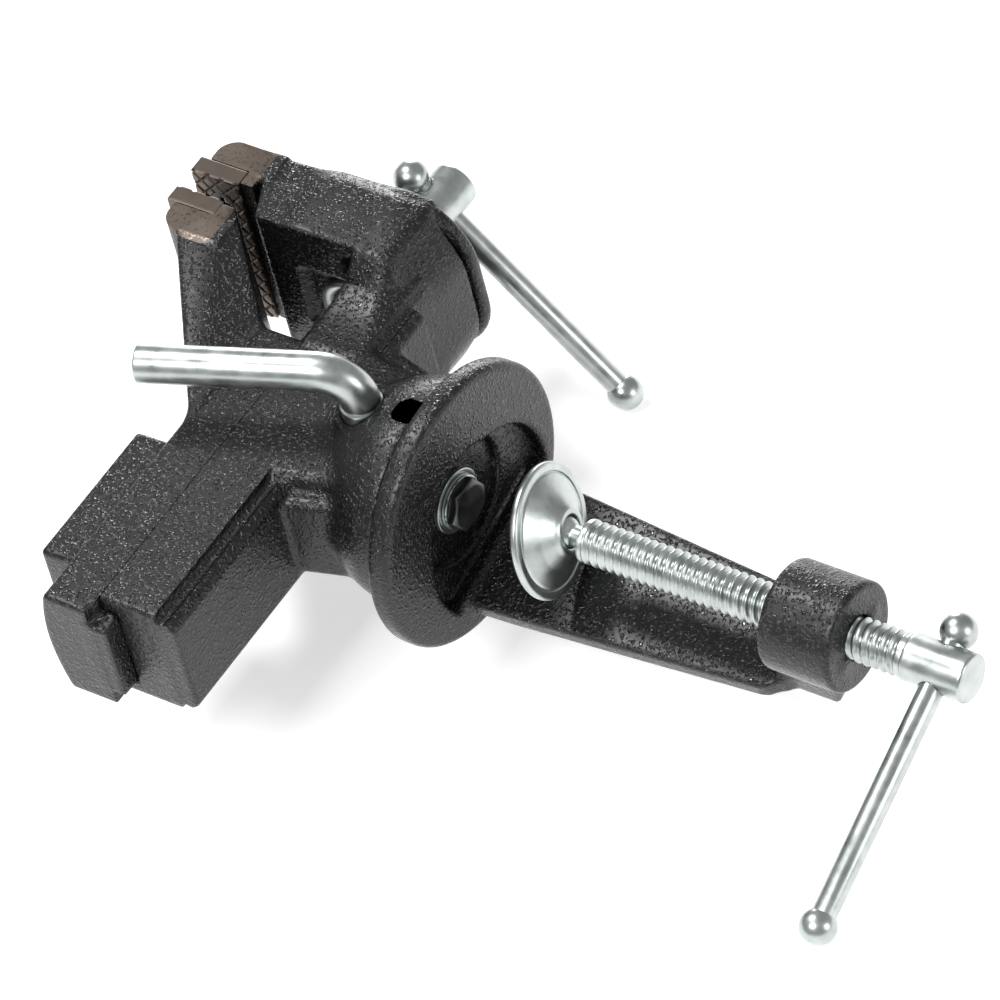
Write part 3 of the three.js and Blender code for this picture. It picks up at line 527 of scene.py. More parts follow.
def fixed_casting(x, y, z):
    side = abs(y)
    swell = smooth(x, 26, 78)
    half = 22 + 12.4 * swell - 2.6 * smooth(z, 68, 86) * swell
    bottom = 53 - 3.2 * swell
    corner = 4 + 22 * swell
    across = side - half + corner
    below = bottom + corner - z
    ring = np.hypot(np.maximum(across, 0), np.maximum(below, 0)) + np.minimum(np.maximum(across, below), 0) - corner
    hump = meet([ring, x - OUTER_X + 6, 22 - x, z - 99], 2)
    rim_half = 34.6 - 2.6 * smooth(z, 68, 86)
    ra, rb = side - rim_half + RIM_CORNER, 49 + RIM_CORNER - z
    rim = np.hypot(np.maximum(ra, 0), np.maximum(rb, 0)) + np.minimum(np.maximum(ra, rb), 0) - RIM_CORNER
    rim = meet([rim, x - OUTER_X, OUTER_X - 5.4 - x, z - 99], 2.4)
    lean_in = ((x - GRIP_X - 1.5) * 5 - (z - BLOCK_LOW_Z + 3) * 10.7) / math.hypot(5, 10.7)
    lean_out = ((x - OUTER_X) * 48 + (z - SEAM_Z) * 2.7) / math.hypot(48, 2.7)
    upright = meet(
        [-lean_in, GRIP_X - 9.5 - x, lean_out, SEAM_Z - 12 - z, z - BLOCK_LOW_Z - 1, side - HALF_JAW + 0.2],
        1.5,
    )
    body = join(hump, upright, 9)
    body = join(body, rim, 0.8)
    body = cut(body, brick(x, y, z, (-200, -80, SEAM_Z), (WALL_X, 80, 220), 0.8), 1.0)
    body = cut(body, brick(x, y, z, (WALL_X - 9, -27, 66.5), (WALL_X + 3, -17, 81), 3), 0.8)
    body = join(body, jaw_block(x, y, z, GRIP_X + PLATE_T, 1), 2.2)
    behind_plate = brick(x, y, z, (0, -60, PLATE_LOW_Z - 0.15), (GRIP_X + PLATE_T + 0.15, 60, 200), 0.1)
    body = cut(body, behind_plate, 0.4)
    # rail, with a groove where its narrower foot starts
    rail = meet([brick(x, y, z, (-94, -22, 52.6), (60, 22, SEAM_Z + 4), 1.3), z - SEAM_Z], 0.2)
    foot_half = 17.8 + 0.735 * (z - 46.6)
    foot = meet([side - np.minimum(foot_half, 20.3), 46.6 - z, z - 58, -94 - x, x - 50], 1.2)
    beam = cut(join(rail, foot, 0.8), np.hypot(side - 21.3, z - 51.6) - 2.3, 0.5)
    # neck: round at the swivel plane, then leaning in to the rail
    reach = np.hypot(x, y)
    wall = meet([reach - 37.4, 12.5 - z, z - 56], 1.1)
    shoulder = (reach - 37.2) * 0.84 + (z - 24) * 0.54
    neck = meet([wall, shoulder, reach - 33 + (z - 36) * 0.45], 3)
    block = meet([abs(x) - 25 - np.clip(z - 33, 0, 30) * 0.25, side - 22, 20 - z, z - 56], 4.2)
    web = meet([abs(x) - 31 - np.clip(z - 30, 0, 30) * 0.26, side - 17, 26 - z, z - 53], 3.5)
    body = join(body, join(join(beam, block, 1.2), web, 1.6), 2.5)
    body = join(body, neck, 2.2)
    lug = drum(np.hypot(x, z - 34.75), -y, 9.5, 18, 29.4, 0.8)
    body = join(body, lug, 2)
    body = join(body, drum(np.hypot(y, z - AXIS_Z), x, 15, 70, 91, 1.2), 2)
    # machined spaces
    body = cut(body, brick(x, y, z, (-200, -16.15, SEAM_Z - 5.15), (40, 16.15, 300), 0.5), 0.7)
    opening = meet([side - 15, x - WALL_X - 2.2, 34 - x, z - 102.5, 69 - z], 5)
    body = cut(body, opening, 0.9)
    body = cut(body, drum(np.hypot(y, z - AXIS_Z), x, 7.3, 30, 200, 0.1), 0.5)
    body = cut(body, drum(reach, z, 28.3, -20, 19.3, 0.1), 0.6)
    body = cut(body, drum(reach, z, 16.1, -20, 41.3, 0.1), 0.6)
    body = cut(body, drum(np.hypot(x, z - 34.75), -y, 6.1, 0, 60, 0.1), 0.5)
    return cut(body, drum(np.hypot(x, z - 34.75), -y, 7.5, 27.5, 60, 0.1), 0.3)


CAST_STEP = 1.05
fixed = skin("fixed_casting", fixed_casting, (-94, -35, 12), (92, 35, 142), CAST_STEP)
finish_piece(fixed, PAINT_JAW, "head", "hammertone", "fixed_body")

# %% [markdown]
# ## The moving casting
# The slide is a bar with a slightly arched top and a tongue that runs in the rail. A raised pad
# behind the jaw serves as a small anvil. The jaw is a wedge that leans forward over the screw: its
# base is as wide as the slide and its head as wide as the plate, so its sides flare.

# %% The moving casting
MOVE_GRIP_X = GRIP_X - 7
SLIDE_FRONT, SLIDE_BACK = 23, -101
ARM = facets(
    [
        (px, s * w, pz)
        for px, w, pz in (
            (MOVE_GRIP_X - PLATE_T - BLOCK_T, HALF_JAW, BLOCK_LOW_Z),
            (MOVE_GRIP_X - PLATE_T - BLOCK_T, HALF_JAW, BLOCK_TOP_Z - 7),
            (MOVE_GRIP_X - 1.5, HALF_JAW, BLOCK_LOW_Z),
            (MOVE_GRIP_X - 1.5, HALF_JAW, PLATE_LOW_Z - 0.15),
            (SLIDE_FRONT, 22, 90.7),
            (-20, 22, 90.7),
        )
        for s in (-1, 1)
    ]
)


def moving_casting(x, y, z):
    side = abs(y)
    arch = 95.3 - 3.6 * (y / 22) ** 2
    slide = meet([side - 22, z - arch, SLIDE_BACK - x, x - SLIDE_FRONT], 1.3)
    slide = meet([slide, SEAM_Z + 0.15 - z], 0.2)
    tongue = meet([side - 16, SEAM_Z - 5 - z, z - 80, SLIDE_BACK - x, x - SLIDE_FRONT], 1.0)
    nick = brick(x, y, z, (SLIDE_BACK - 5, -30, SEAM_Z - 9), (SLIDE_BACK + 5, -14.5, SEAM_Z + 1.2), 2.5)
    body = cut(join(slide, tongue, 0.6), nick, 0.8)
    arm = wrapped(x, y, z, ARM, 1.2)
    anvil = meet([side - 16 - 0.04 * (107.5 - z), z - 107.5, 88 - z, -82 - x, x + 27], 1.6)
    body = join(join(body, arm, 3), anvil, 2.2)
    back = MOVE_GRIP_X - PLATE_T
    body = cut(body, brick(x, y, z, (back - 0.15, -60, PLATE_LOW_Z - 0.15), (120, 60, 220), 0.1), 0.4)
    body = join(body, jaw_block(x, y, z, back, -1), 0.8)
    body = cut(body, brick(x, y, z, (back - 0.15, -60, PLATE_LOW_Z - 0.15), (120, 60, 220), 0.1), 0.3)
    return cut(body, drum(np.hypot(y, z - AXIS_Z), x, 7.3, -90, 60, 0.1), 0.5)


moving = skin("moving_casting", moving_casting, (-101, -32, 69), (56, 32, 142), CAST_STEP)
finish_piece(moving, PAINT_JAW, "slide", "hammertone", "moving_jaw")

# %% [markdown]
# ## The clamp casting
# A thick round flange with an open mouth below, a step and a spigot that the neck turns on, a flat
# tapered spine down one side and a boss at its foot for the clamp screw. It is described with its
# spine straight across and then turned about the swivel axis, because the clamp sits a little
# askew under the head.

# %% The clamp casting
CLAMP_TURN = math.radians(-15)
CLAMP_T = 2.3  # the screw's offset across the spine
SPINE_IN, SPINE_OUT = 25.9, 33.1
SPINE = facets(
    [
        (CLAMP_T + s * w, d, h)
        for w, h in ((24.5, 6), (24.5, -4), (17, -106), (12, -112))
        for d in (SPINE_IN, SPINE_OUT)
        for s in (-1, 1)
    ]
)
FOOT = facets(
    [
        (CLAMP_T + s * 11, d, h)
        for d, h in ((0, -115), (0, -140.5), (SPINE_OUT, -107), (SPINE_OUT, -129))
        for s in (-1, 1)
    ]
)


def clamp_casting(x, y, z):
    c, s = math.cos(CLAMP_TURN), math.sin(CLAMP_TURN)
    t, r = x * c + y * s, y * c - x * s
    reach = np.hypot(t, r)
    body = drum(reach, z, 47, 0, 8.2, 2.4)
    body = join(body, drum(reach, z, 37.4, 2, 12.2, 1.0), 1.6)
    mouth = drum(np.hypot(t - 3, r - 14), z, 31, -20, 5.2, 1.5)
    mouth = np.maximum(mouth, r - SPINE_IN)
    body = cut(body, mouth, 1.6)
    body = cut(body, drum(reach, z, 22, -20, 7.6, 0.5), 1.0)
    cap = drum(reach, z, 28, 8.5, 19, 0.6)
    cap = join(cap, drum(reach, z, 16, 12, 41, 0.8), 0.6)
    body = join(body, cap, 0.5)
    body = join(body, wrapped(t, r, z, SPINE, 1.3), 3)
    boss = drum(np.hypot(t - CLAMP_T, r), z, 18, -141, -115, 1.6)
    body = join(body, join(boss, wrapped(t, r, z, FOOT, 1.5), 4), 4)
    body = cut(body, drum(reach, z, 6.6, -30, 60, 0.1), 0.5)
    return cut(body, drum(np.hypot(t - CLAMP_T, r), z, 7.3, -160, -90, 0.1), 0.8)


clamp = skin("clamp_casting", clamp_casting, (-48, -48, -141), (48, 48, 41), CAST_STEP)
finish_piece(clamp, PAINT, "clamp", "hammertone", "clamp_frame")

# %% [markdown]
# ## Turned pieces
# Screws, balls, washers and the pad come off a lathe, so each is a profile carried round an axis.
# The profile is a list of corners of radius and height; each corner is softened by a short curve, as
# a file leaves it. A screw thread is the same surface with one change: the radius also follows the
# height less the share of a turn, so the groove climbs one pitch in a turn.

# %% Turning a profile, with or without a thread
def soften(profile, r, bends=3):
    """Replaces each inner corner of a profile by a short curve that starts and ends r from it,
    or less on a short side."""
    p = np.array(profile, float)
    out = [p[0]]
    for a, b, c in zip(p[:-2], p[1:-1], p[2:]):
        back, on = a - b, c - b
        la, lc = np.linalg.norm(back), np.linalg.norm(on)
        start = b + back / la * min(r, la * 0.45)
        end = b + on / lc * min(r, lc * 0.45)
        for u in np.linspace(0, 1, bends + 1):
            out.append((1 - u) ** 2 * start + 2 * u * (1 - u) * b + u**2 * end)
    out.append(p[-1])
    return np.array(out)


def directions(axis):
    """Two unit directions square to the axis and to each other."""
    n = np.array(axis, float) / np.linalg.norm(axis)
    a = np.cross(n, (0, 0, 1) if abs(n[2]) < 0.9 else (1, 0, 0))
    a /= np.linalg.norm(a)
    return n, a, np.cross(n, a)


def turned(name, profile, at, axis, seg=64, r=0.5, thread=None, ring=False):
    """Radius and height of the profile carried round the axis. thread is (low, high, pitch, depth):
    between those heights the radius dips by the depth once a pitch, and the dip climbs with the
    angle. ring closes the profile on itself."""
    rows = soften(profile, r)
    if thread:
        low, high, pitch, depth = thread
        count = int((high - low) / pitch * 12)
        fine = np.linspace(low, high, count)
        radius = np.interp(fine, *rows[np.argsort(rows[:, 1], kind="stable")][:, ::-1].T)
        keep_low, keep_high = rows[rows[:, 1] < low], rows[rows[:, 1] > high]
        rows = np.concatenate([keep_low, np.stack([radius, fine], 1), keep_high])
    turn = np.arange(seg) / seg
    radius = np.repeat(rows[:, :1], seg, 1)
    height = np.repeat(rows[:, 1:], seg, 1)
    if thread:
        share = (height / pitch - turn[None, :]) % 1
        dip = np.clip((1 - abs(2 * share - 1)) * 1.35 - 0.18, 0, 1)
        fade = smooth(height, low, low + pitch) * (1 - smooth(height, high - pitch * 0.7, high))
        radius = radius - depth * dip * fade
    n, a, b = directions(axis)
    c, s = np.cos(2 * np.pi * turn), np.sin(2 * np.pi * turn)
    v = (
        np.array(at, float)
        + height[..., None] * n
        + (radius * c)[..., None] * a
        + (radius * s)[..., None] * b
    )
    count = len(rows)
    grid = np.arange(count * seg).reshape(count, seg)
    here, there = (grid, np.roll(grid, -1, 0)) if ring else (grid[:-1], grid[1:])
    quads = np.stack([here, np.roll(here, -1, 1), np.roll(there, -1, 1), there], -1).reshape(-1, 4)
    points = v.reshape(-1, 3)
    faces = quads.tolist()
    if not ring:
        # close each end with one centre vertex where the profile starts or ends on the axis
        base = len(points)
        points = np.concatenate([points, [v[0].mean(0), v[-1].mean(0)]])
        first, last = grid[0], grid[-1]
        faces += np.stack([np.full(seg, base), np.roll(first, -1), first], 1).tolist()
        faces += np.stack([np.full(seg, base + 1), last, np.roll(last, -1)], 1).tolist()
    piece = mesh_from_arrays(name, points, faces)
    print(f"{name}: {len(points)} vertices")
    return piece


def turned_in_clamp(point):
    """A point given with the clamp straight, turned to where the clamp sits."""
    c, s = math.cos(CLAMP_TURN), math.sin(CLAMP_TURN)
    return (point[0] * c - point[1] * s, point[0] * s + point[1] * c, point[2])


# %% [markdown]
# ## The two screws
# Both are 14.4 mm screws of 3 mm pitch. The thread is cut on the turned surface, and the head is a
# separate thick collar with a cross hole for the bar, so it is skinned from a field like a casting
# but much finer.

# %% The two screws and their heads
PITCH, THREAD_DEPTH = 3.0, 1.35
PAD_BALL_Z = -32.4  # centre of the ball that the pad hangs on
BAR_X, CLAMP_BAR_Z = 106, -170.5
MAIN_BAR = np.array([0, math.cos(math.radians(-42.5)), math.sin(math.radians(-42.5))])
CLAMP_BAR = np.array([math.cos(math.radians(159)), math.sin(math.radians(159)), 0.0])
CLAMP_X, CLAMP_Y, _ = turned_in_clamp((CLAMP_T, 0, 0))

screw = turned(
    "main_screw_thread",
    [(0, -62), (5.6, -62), (7.2, -60.4), (7.2, 92), (7.2, 93.1), (10, 93.1), (10, 96), (7.6, 96), (7.6, 97)],
    (0, 0, AXIS_Z), (1, 0, 0), thread=(-60, 54, PITCH, THREAD_DEPTH), r=0.6,
)
finish_piece(screw, ZINC, "screw", "zinc", "main_screw")


def head_field(centre, axis, bar, half, radius):
    """A short bar with rounded rims and a cross hole, about a centre."""
    def field(x, y, z):
        p = [v - c for v, c in zip((x, y, z), centre)]
        h = sum(v * a for v, a in zip(p, axis))
        reach = np.sqrt(np.maximum(sum(v * v for v in p) - h * h, 0))
        g = sum(v * a for v, a in zip(p, bar))
        hole = np.sqrt(np.maximum(sum(v * v for v in p) - g * g, 0)) - 4.12
        return cut(drum(reach, h, radius, -half, half, 0.9), hole, 0.5)
    return field


HEAD_STEP = 0.5
main_head = skin(
    "main_screw_head", head_field((BAR_X, 0, AXIS_Z), (1, 0, 0), MAIN_BAR, 11, 8),
    (BAR_X - 11, -8, AXIS_Z - 8), (BAR_X + 11, 8, AXIS_Z + 8), HEAD_STEP,
)
finish_piece(main_head, ZINC, "screw", "zinc")
clamp_screw = turned(
    "clamp_screw_thread",
    [(0, -160.2), (7.2, -160.2), (7.2, -41.8), (3.5, -40.3), (3.5, -36.8)]
    + [(5.6 * math.cos(u), PAD_BALL_Z + 5.6 * math.sin(u)) for u in np.radians(np.linspace(-46, 84, 10))]
    + [(0, PAD_BALL_Z + 5.6)],
    (CLAMP_X, CLAMP_Y, 0), (0, 0, 1), thread=(-158.5, -42.5, PITCH, THREAD_DEPTH), r=0.6,
)
finish_piece(clamp_screw, ZINC, "clamp_spindle", "zinc", "clamp_screw")
clamp_head = skin(
    "clamp_screw_head", head_field((CLAMP_X, CLAMP_Y, CLAMP_BAR_Z), (0, 0, 1), CLAMP_BAR, 11, 8),
    (CLAMP_X - 8, CLAMP_Y - 8, CLAMP_BAR_Z - 11), (CLAMP_X + 8, CLAMP_Y + 8, CLAMP_BAR_Z + 11), HEAD_STEP,
)
finish_piece(clamp_head, ZINC, "clamp_spindle", "zinc")

# %% [markdown]
# ## Cross bars and balls
# Each cross bar is an 8 mm rod with a ball pressed on each end, so that it can't slide out of the
# head. A ball has a small flat at its tip, where the rod was riveted over, and a short collar.

# %% Cross bars and their balls
def cross_bar(prefix, centre, bar, body):
    centre = np.array(centre, float)
    near, far = 12.6, 88.0
    rod = turned(
        f"{prefix}_rod", [(0, -near + 3), (4, -near + 3), (4, far - 3), (0, far - 3)], centre, bar, seg=48, r=0.3
    )
    finish_piece(rod, ZINC, body, "zinc", f"{prefix}_bar")
    arc = np.radians(np.linspace(-44, 66, 24))
    ball = [(6 * math.cos(u), 6 * math.sin(u)) for u in arc]
    ball = [(0, -4.25), (4.2, -4.25)] + ball + [(1.6, 5.75), (0, 5.6)]
    for number, place, way in ((1, centre - bar * near, -bar), (2, centre + bar * far, bar)):
        piece = turned(f"{prefix}_ball_{number}", ball, place, way, seg=48, r=0.25)
        finish_piece(piece, ZINC, body, "zinc", f"{prefix}_bar_ball_{number}")


cross_bar("main", (BAR_X, 0, AXIS_Z), MAIN_BAR, "screw_bar")
cross_bar("clamp", (CLAMP_X, CLAMP_Y, CLAMP_BAR_Z), CLAMP_BAR, "clamp_handle")

# %% [markdown]
# ## The pressure pad
# The pad is a pressed and turned cup: a flat face against the table, a thin rim, a dished back that
# rises to a hub, and a hole in the hub where the screw's neck goes in to its ball.

# %% The pressure pad
PAD_WAY = (-0.1729, 0.206, 0.9632)  # the pad hangs over on its ball by 15.6 degrees
pad = turned(
    "pressure_pad_cup",
    [(0, 6.6), (20.9, 6.6), (21.8, 5.8), (21.8, 4.2), (20.9, 3.6), (18.9, 3.6), (18.5, 4.1), (18.0, 3.4), (12.5, 0.4),
     (8.6, -2.2), (7.2, -3.4), (5.4, -3.4), (5.2, -2.6), (6.2, 0.4), (4.9, 4.2), (3.2, 5.3), (0, 5.9)][::-1],
    (CLAMP_X, CLAMP_Y, PAD_BALL_Z), PAD_WAY, seg=96, r=0.5,
)
finish_piece(pad, ZINC, "pad", "zinc", "pressure_pad")

# %% [markdown]
# ## The lock lever
# A bent round bar. Its short leg is threaded into the neck and has a collar; a quarter bend takes it
# into the long arm, which leans back along the slide. The surface is a circle carried along the
# path, with its radius set by the distance along the path, so the collar is part of the same skin.

# %% The lock lever
LEVER_Z, LEVER_R, BEND_R, CORNER_Y, ARM_L = 34.75, 6.4, 12.5, -46.9, 70.5
ARM_WAY = np.array([-math.sin(math.radians(19.7)), 0, math.cos(math.radians(19.7))])
OUT = np.array([0, -1.0, 0])


def lever_path(s):
    """Place and direction at distance s: straight out along the leg, round the bend, then along the arm."""
    leg = -CORNER_Y - BEND_R
    quarter = BEND_R * math.pi / 2
    a = np.clip((s - leg) / BEND_R, 0, math.pi / 2)[:, None]
    start = np.array([0, 0, LEVER_Z])
    place = start + np.minimum(s, leg)[:, None] * OUT
    place = place + BEND_R * (np.sin(a) * OUT + (1 - np.cos(a)) * ARM_WAY)
    place = place + np.maximum(s - leg - quarter, 0)[:, None] * ARM_WAY
    return place, np.cos(a) * OUT + np.sin(a) * ARM_WAY


def lever_skin(seg=56):
    leg = -CORNER_Y - BEND_R
    quarter = BEND_R * math.pi / 2
    end = leg + quarter + ARM_L - BEND_R
    rows = soften(
        [(0, 16.4), (5, 16.4), (6, 17.4), (6, leg - 6.6), (7.1, leg - 6.6), (7.1, leg - 1), (6.5, leg - 0.1),
         (LEVER_R, leg + 0.1), (LEVER_R, leg + quarter), (LEVER_R, end), (0, end)],
        0.7, 4,
    )
    fine = np.linspace(leg + 1.5, leg + quarter - 0.5, 26)
    rows = np.concatenate([rows, np.stack([np.full(26, LEVER_R), fine], 1)])
    split = np.argsort(rows[:, 1] + np.arange(len(rows)) * 1e-9, kind="stable")
    rows = rows[split]
    place, way = lever_path(rows[:, 1])
    across = np.cross(OUT, ARM_WAY)
    inward = np.cross(way, across)
    turn = 2 * np.pi * np.arange(seg) / seg
    v = (
        place[:, None]
        + rows[:, :1, None] * (np.cos(turn)[None, :, None] * inward[:, None] + np.sin(turn)[None, :, None] * across)
    )
    grid = np.arange(len(rows) * seg).reshape(len(rows), seg)
    here, there = grid[:-1], grid[1:]
    quads = np.stack([here, there, np.roll(there, -1, 1), np.roll(here, -1, 1)], -1).reshape(-1, 4)
    points = np.concatenate([v.reshape(-1, 3), [place[0], place[-1]]])
    base = len(rows) * seg
    faces = quads.tolist()
    faces += np.stack([np.full(seg, base), grid[0], np.roll(grid[0], -1)], 1).tolist()
    faces += np.stack([np.full(seg, base + 1), np.roll(grid[-1], -1), grid[-1]], 1).tolist()
    return mesh_from_arrays("lock_lever_bar", points, faces)


lever = lever_skin()
finish_piece(lever, ZINC, "lever", "zinc", "lock_lever")
print("lever bar:", len(lever.data.vertices), "vertices")

# %% [markdown]
# ## Jaw plates and their screws
# A hardened plate with a diamond pattern milled into its gripping face, held by two countersunk
# screws with cross recesses. The pattern is two sets of V grooves 4 mm apart at 45 degrees, cut in
# the field, so it is real geometry.

# %% Jaw plates and their screws
GROOVE, GROOVE_DEPTH = 4.0, 0.75
PLATE_SCREW_Z = PLATE_LOW_Z + 18.6 * 0.45
SCREW_Y = 20


def plate_field(grip, into):
    def field(x, y, z):
        depth = (x - grip) * into
        solid = meet([-depth, depth - PLATE_T, abs(y) - HALF_JAW, PLATE_LOW_Z - z, z - JAW_TOP_Z], 0.35)
        for sign in (-1, 1):
            along = (y + sign * (z - 135.7)) / math.sqrt(2) / GROOVE
            off = abs(along - np.round(along)) * GROOVE
            solid = np.maximum(solid, (GROOVE_DEPTH - off * 1.1 - depth) * 0.67)
        for sy in (-SCREW_Y, SCREW_Y):
            reach = np.hypot(y - sy, z - PLATE_SCREW_Z)
            sink = np.maximum(reach - 4.7, (reach - 4.7 + np.maximum(depth - 0.8, 0)) * 0.71)
            solid = meet([solid, -np.minimum(sink, reach - 2.6)], 0.15)
        return solid
    return field


def screw_field(grip, into, sy):
    def field(x, y, z):
        depth = (x - grip) * into
        reach = np.hypot(y - sy, z - PLATE_SCREW_Z)
        head = meet([0.3 - depth, (reach - 4.6 + np.maximum(depth - 0.8, 0)) * 0.71, reach - 4.6, depth - 5.5], 0.15)
        shank = meet([reach - 2.5, depth - 14, 0.5 - depth], 0.2)
        cross = np.minimum(
            np.maximum(abs(y - sy) - 0.55, abs(z - PLATE_SCREW_Z) - 2.6),
            np.maximum(abs(z - PLATE_SCREW_Z) - 0.55, abs(y - sy) - 2.6),
        )
        return meet([join(head, shank, 0.1), -np.maximum(cross, depth - 2.2 + reach * 0.4)], 0.12)
    return field


PLATE_STEP = 0.5
for label, grip, into, body in (("fixed", GRIP_X, 1, "head"), ("moving", MOVE_GRIP_X, -1, "slide")):
    x0, x1 = sorted((grip, grip + PLATE_T * into))
    plate = skin(
        f"{label}_grip_plate", plate_field(grip, into),
        (x0, -HALF_JAW, PLATE_LOW_Z), (x1, HALF_JAW, JAW_TOP_Z), PLATE_STEP,
    )
    plate.data.set_sharp_from_angle(angle=math.radians(38))
    finish_piece(plate, GROUND, body, "ground_steel", f"{label}_jaw_plate")
    for number, sy in enumerate((-SCREW_Y, SCREW_Y), 1):
        x0, x1 = sorted((grip, grip + 14 * into))
        bolt = skin(
            f"{label}_grip_screw_{number}", screw_field(grip, into, sy),
            (x0, sy - 5, PLATE_SCREW_Z - 5), (x1, sy + 5, PLATE_SCREW_Z + 5), 0.4,
        )
        finish_piece(bolt, SCREW_STEEL, body, "dark_steel", f"{label}_plate_screw_{number}")

# %% [markdown]
# ## Washers, split pin and swivel bolt
# Small bought parts: plain washers with the soft edge that stamping leaves, a cut and twisted spring
# washer, a hexagon bolt with its corners turned off, and a split pin of half-round wire folded on
# itself.

# %% Washers, split pin and swivel bolt
def ring(name, inner, outer, low, high, at, axis):
    return turned(
        name, [(inner, low), (outer, low), (outer, high), (inner, high), (inner, (low + high) / 2)],
        at, axis, r=0.35, ring=True,
    )


on_screw = (0, 0, AXIS_Z)
finish_piece(ring("thrust_ring", 7.3, 12, 91.1, 93, on_screw, (1, 0, 0)), ZINC, "head", "zinc", "thrust_washer")
finish_piece(
    ring("retaining_ring", 7.3, 12, 55.1, 57.1, on_screw, (1, 0, 0)), ZINC, "screw", "zinc", "retaining_washer"
)
finish_piece(
    ring("swivel_ring", 6.1, 11, 5.7, 7.5, (0, 0, 0), (0, 0, 1)), ZINC, "head", "zinc", "swivel_washer"
)


def spring_field(x, y, z):
    """A ring of square wire with a slanted gap."""
    body = meet([np.hypot(x, y) - 9.2, 6.1 - np.hypot(x, y), z - 5.65, 4.05 - z], 0.3)
    gap = np.maximum(abs(y - (z - 4.85) * 0.4) - 0.7, -x)
    return cut(body, gap, 0.2)


def bolt_field(x, y, z):
    """Three pairs of flats, its corners turned off by a cone, and a shank."""
    flats = [abs(x * math.cos(u) + y * math.sin(u)) - 8 for u in np.radians((30, 90, 150))]
    reach = np.hypot(x, y)
    head = meet(flats + [z - 4, 0.6 - z, (reach - 8.8) * 0.5 + (1.5 - z) * 0.86], 0.25)
    return join(head, meet([reach - 6, z - 58, 2 - z], 0.4), 0.3)


def pin_field(x, y, z):
    """Two half-round legs side by side with a loop at one end."""
    tilt = math.radians(24)
    a = y * math.sin(tilt) + (z - AXIS_Z) * math.cos(tilt)
    b = y * math.cos(tilt) - (z - AXIS_Z) * math.sin(tilt)
    px = x - 53.65
    legs = np.minimum(
        meet([np.hypot(px, b) - 1.2, 0.1 - px, abs(a) - 11], 0.15),
        meet([np.hypot(px, b) - 1.2, px + 0.1, a - 9.5, -11 - a], 0.15),
    )
    loop = np.hypot(np.hypot(px, a + 11.6) - 1.5, b) - 0.75
    return join(legs, loop, 0.2)


for name, field, low, high, step, look, body, slot, node in (
    ("spring_ring", spring_field, (-10, -10, 4), (10, 10, 5.7), 0.35, ZINC, "head", "zinc", "swivel_spring_washer"),
    ("swivel_hex_bolt", bolt_field, (-11, -11, 0.6), (11, 11, 58), 0.5, DULL_ZINC, "head", "zinc", "swivel_bolt"),
    ("split_pin", pin_field, (51, -7, AXIS_Z - 14), (56, 7, AXIS_Z + 12), 0.3, BRASS, "screw", "brass", "cotter_pin"),
):
    finish_piece(skin(name, field, low, high, step), look, body, slot, node)

# %% [markdown]
# ## Floor, light and camera
# The vise is shown lying on its long side, the way it is laid on a bench to be looked at, so the
# floor stands against its far side in the frame of the part. The floor is only seen from the side
# that the vise lies on. Broad soft lights do most of the work, and one smaller lamp breaks up in
# the paint and draws a line along the bars. The paper glows a little, as backlit paper does, so the
# shadows on it stay pale.

# %% Floor
FLOOR_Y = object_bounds()[1][1] + 0.001
floor_mesh = bpy.data.meshes.new("floor")
reach = 6.0
floor_mesh.from_pydata(
    [(-reach, FLOOR_Y, -reach), (reach, FLOOR_Y, -reach), (reach, FLOOR_Y, reach), (-reach, FLOOR_Y, reach)],
    [], [(0, 1, 2, 3)],
)
floor = bpy.data.objects.new("floor", floor_mesh)
bpy.context.scene.collection.objects.link(floor)
floor.visible_shadow = False
paper = bpy.data.materials.new("pale_paper")
paper.use_nodes = True
tree = paper.node_tree
tree.nodes.clear()
matt = add(tree, "ShaderNodeBsdfDiffuse", values={"Color": srgb(0xE8E8E7)})
glow = add(tree, "ShaderNodeEmission", values={"Color": srgb(0xFAFAFA), "Strength": 0.5})
white = add(tree, "ShaderNodeAddShader")
tree.links.new(matt.outputs["BSDF"], white.inputs[0])
tree.links.new(glow.outputs["Emission"], white.inputs[1])
clear = add(tree, "ShaderNodeBsdfTransparent")
facing = add(tree, "ShaderNodeNewGeometry")
either = add(tree, "ShaderNodeMixShader", links={"Fac": (facing, "Backfacing")})
tree.links.new(white.outputs["Shader"], either.inputs[1])
tree.links.new(clear.outputs["BSDF"], either.inputs[2])
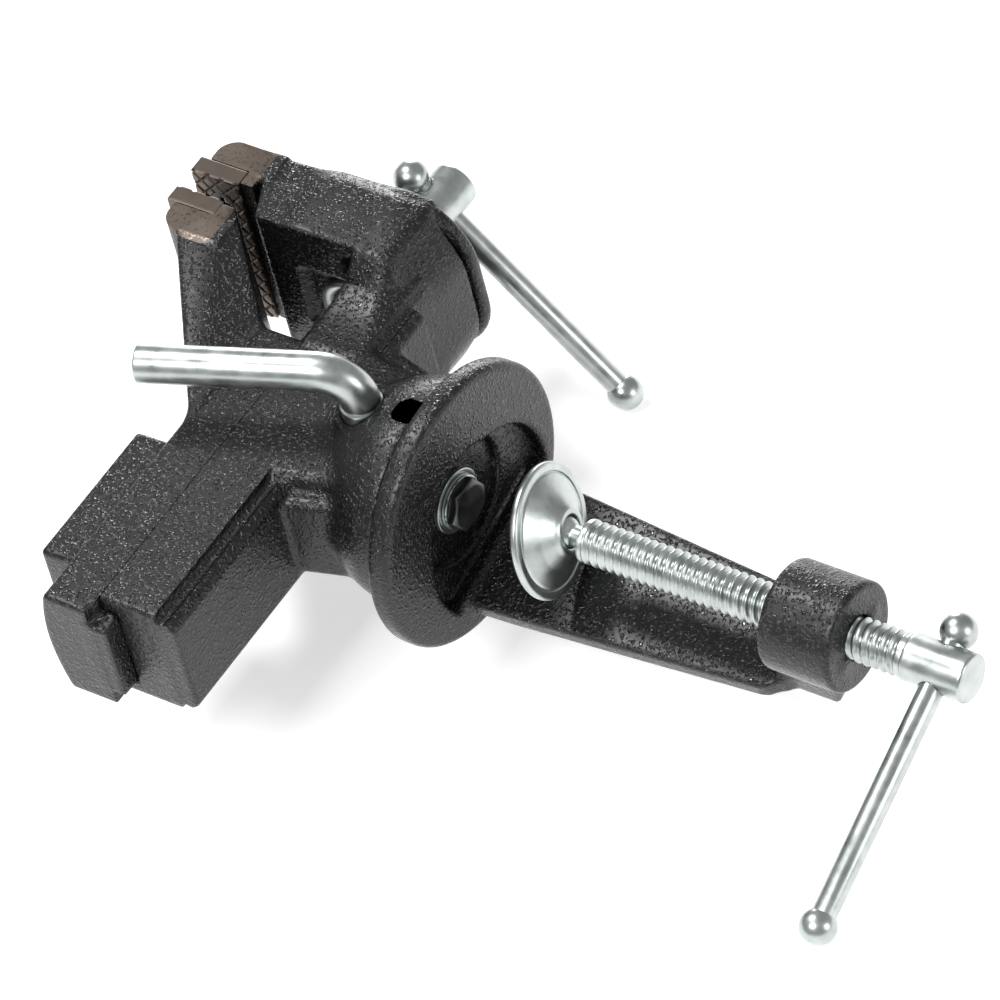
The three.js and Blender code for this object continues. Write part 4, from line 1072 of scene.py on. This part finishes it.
add(tree, "ShaderNodeOutputMaterial", links={"Surface": (either, "Shader")})
floor.data.materials.append(paper)
print("floor at y =", round(FLOOR_Y, 4), "m")

# %% World and lamps
world = bpy.data.worlds.new("studio")
bpy.context.scene.world = world
world.use_nodes = True
backdrop = world.node_tree.nodes["Background"]
backdrop.inputs["Color"].default_value = srgb(0xFAFAFA)
backdrop.inputs["Strength"].default_value = 0.42
bpy.context.scene.view_settings.view_transform = "Standard"


def lamp(name, place, aim, size, watts):
    """A square soft box at place, turned to face aim, in metres."""
    data = bpy.data.lights.new(name, "AREA")
    data.shape, data.size, data.energy = "SQUARE", size, watts
    box = bpy.data.objects.new(name, data)
    box.location = place
    box.rotation_mode = "QUATERNION"
    box.rotation_quaternion = (Vector(aim) - Vector(place)).to_track_quat("-Z", "Y")
    bpy.context.scene.collection.objects.link(box)


CENTRE = (0.01, 0, 0.0)
lamp("key", (-1.1, -1.4, 0.1), CENTRE, 0.5, 20)
lamp("rim", (1.5, -0.2, 1.0), CENTRE, 0.5, 12)
lamp("facet", (0.1, -1.65, 0.8), CENTRE, 0.4, 20)
lamp("far_side", (0.4, 1.6, 0.7), CENTRE, 0.8, 16)
lamp("low", (0.2, -0.6, -1.7), CENTRE, 0.7, 8)

# %% Camera
RIGHT = np.array([0.5329, 0.1827, -0.8262])
UP = np.array([0.6886, -0.6612, 0.2979])
TOWARD = np.array([-0.4918, -0.7276, -0.4782])
PIVOT = np.array([54.48, 0, 82.5])
eye = (PIVOT + 47.44 * RIGHT - 60.1 * UP + 2613.1 * TOWARD) / 1000
camera = bpy.data.objects.new("camera", bpy.data.cameras.new("camera"))
camera.data.lens, camera.data.sensor_width = 293.5, 36
camera.data.clip_start, camera.data.clip_end = 0.1, 50
turn = np.eye(4)
turn[:3, 0], turn[:3, 1], turn[:3, 2], turn[:3, 3] = RIGHT, UP, TOWARD, eye
camera.matrix_world = Matrix(turn.tolist())
bpy.context.scene.collection.objects.link(camera)
bpy.context.scene.camera = camera
print("camera at", [round(float(c), 3) for c in eye])
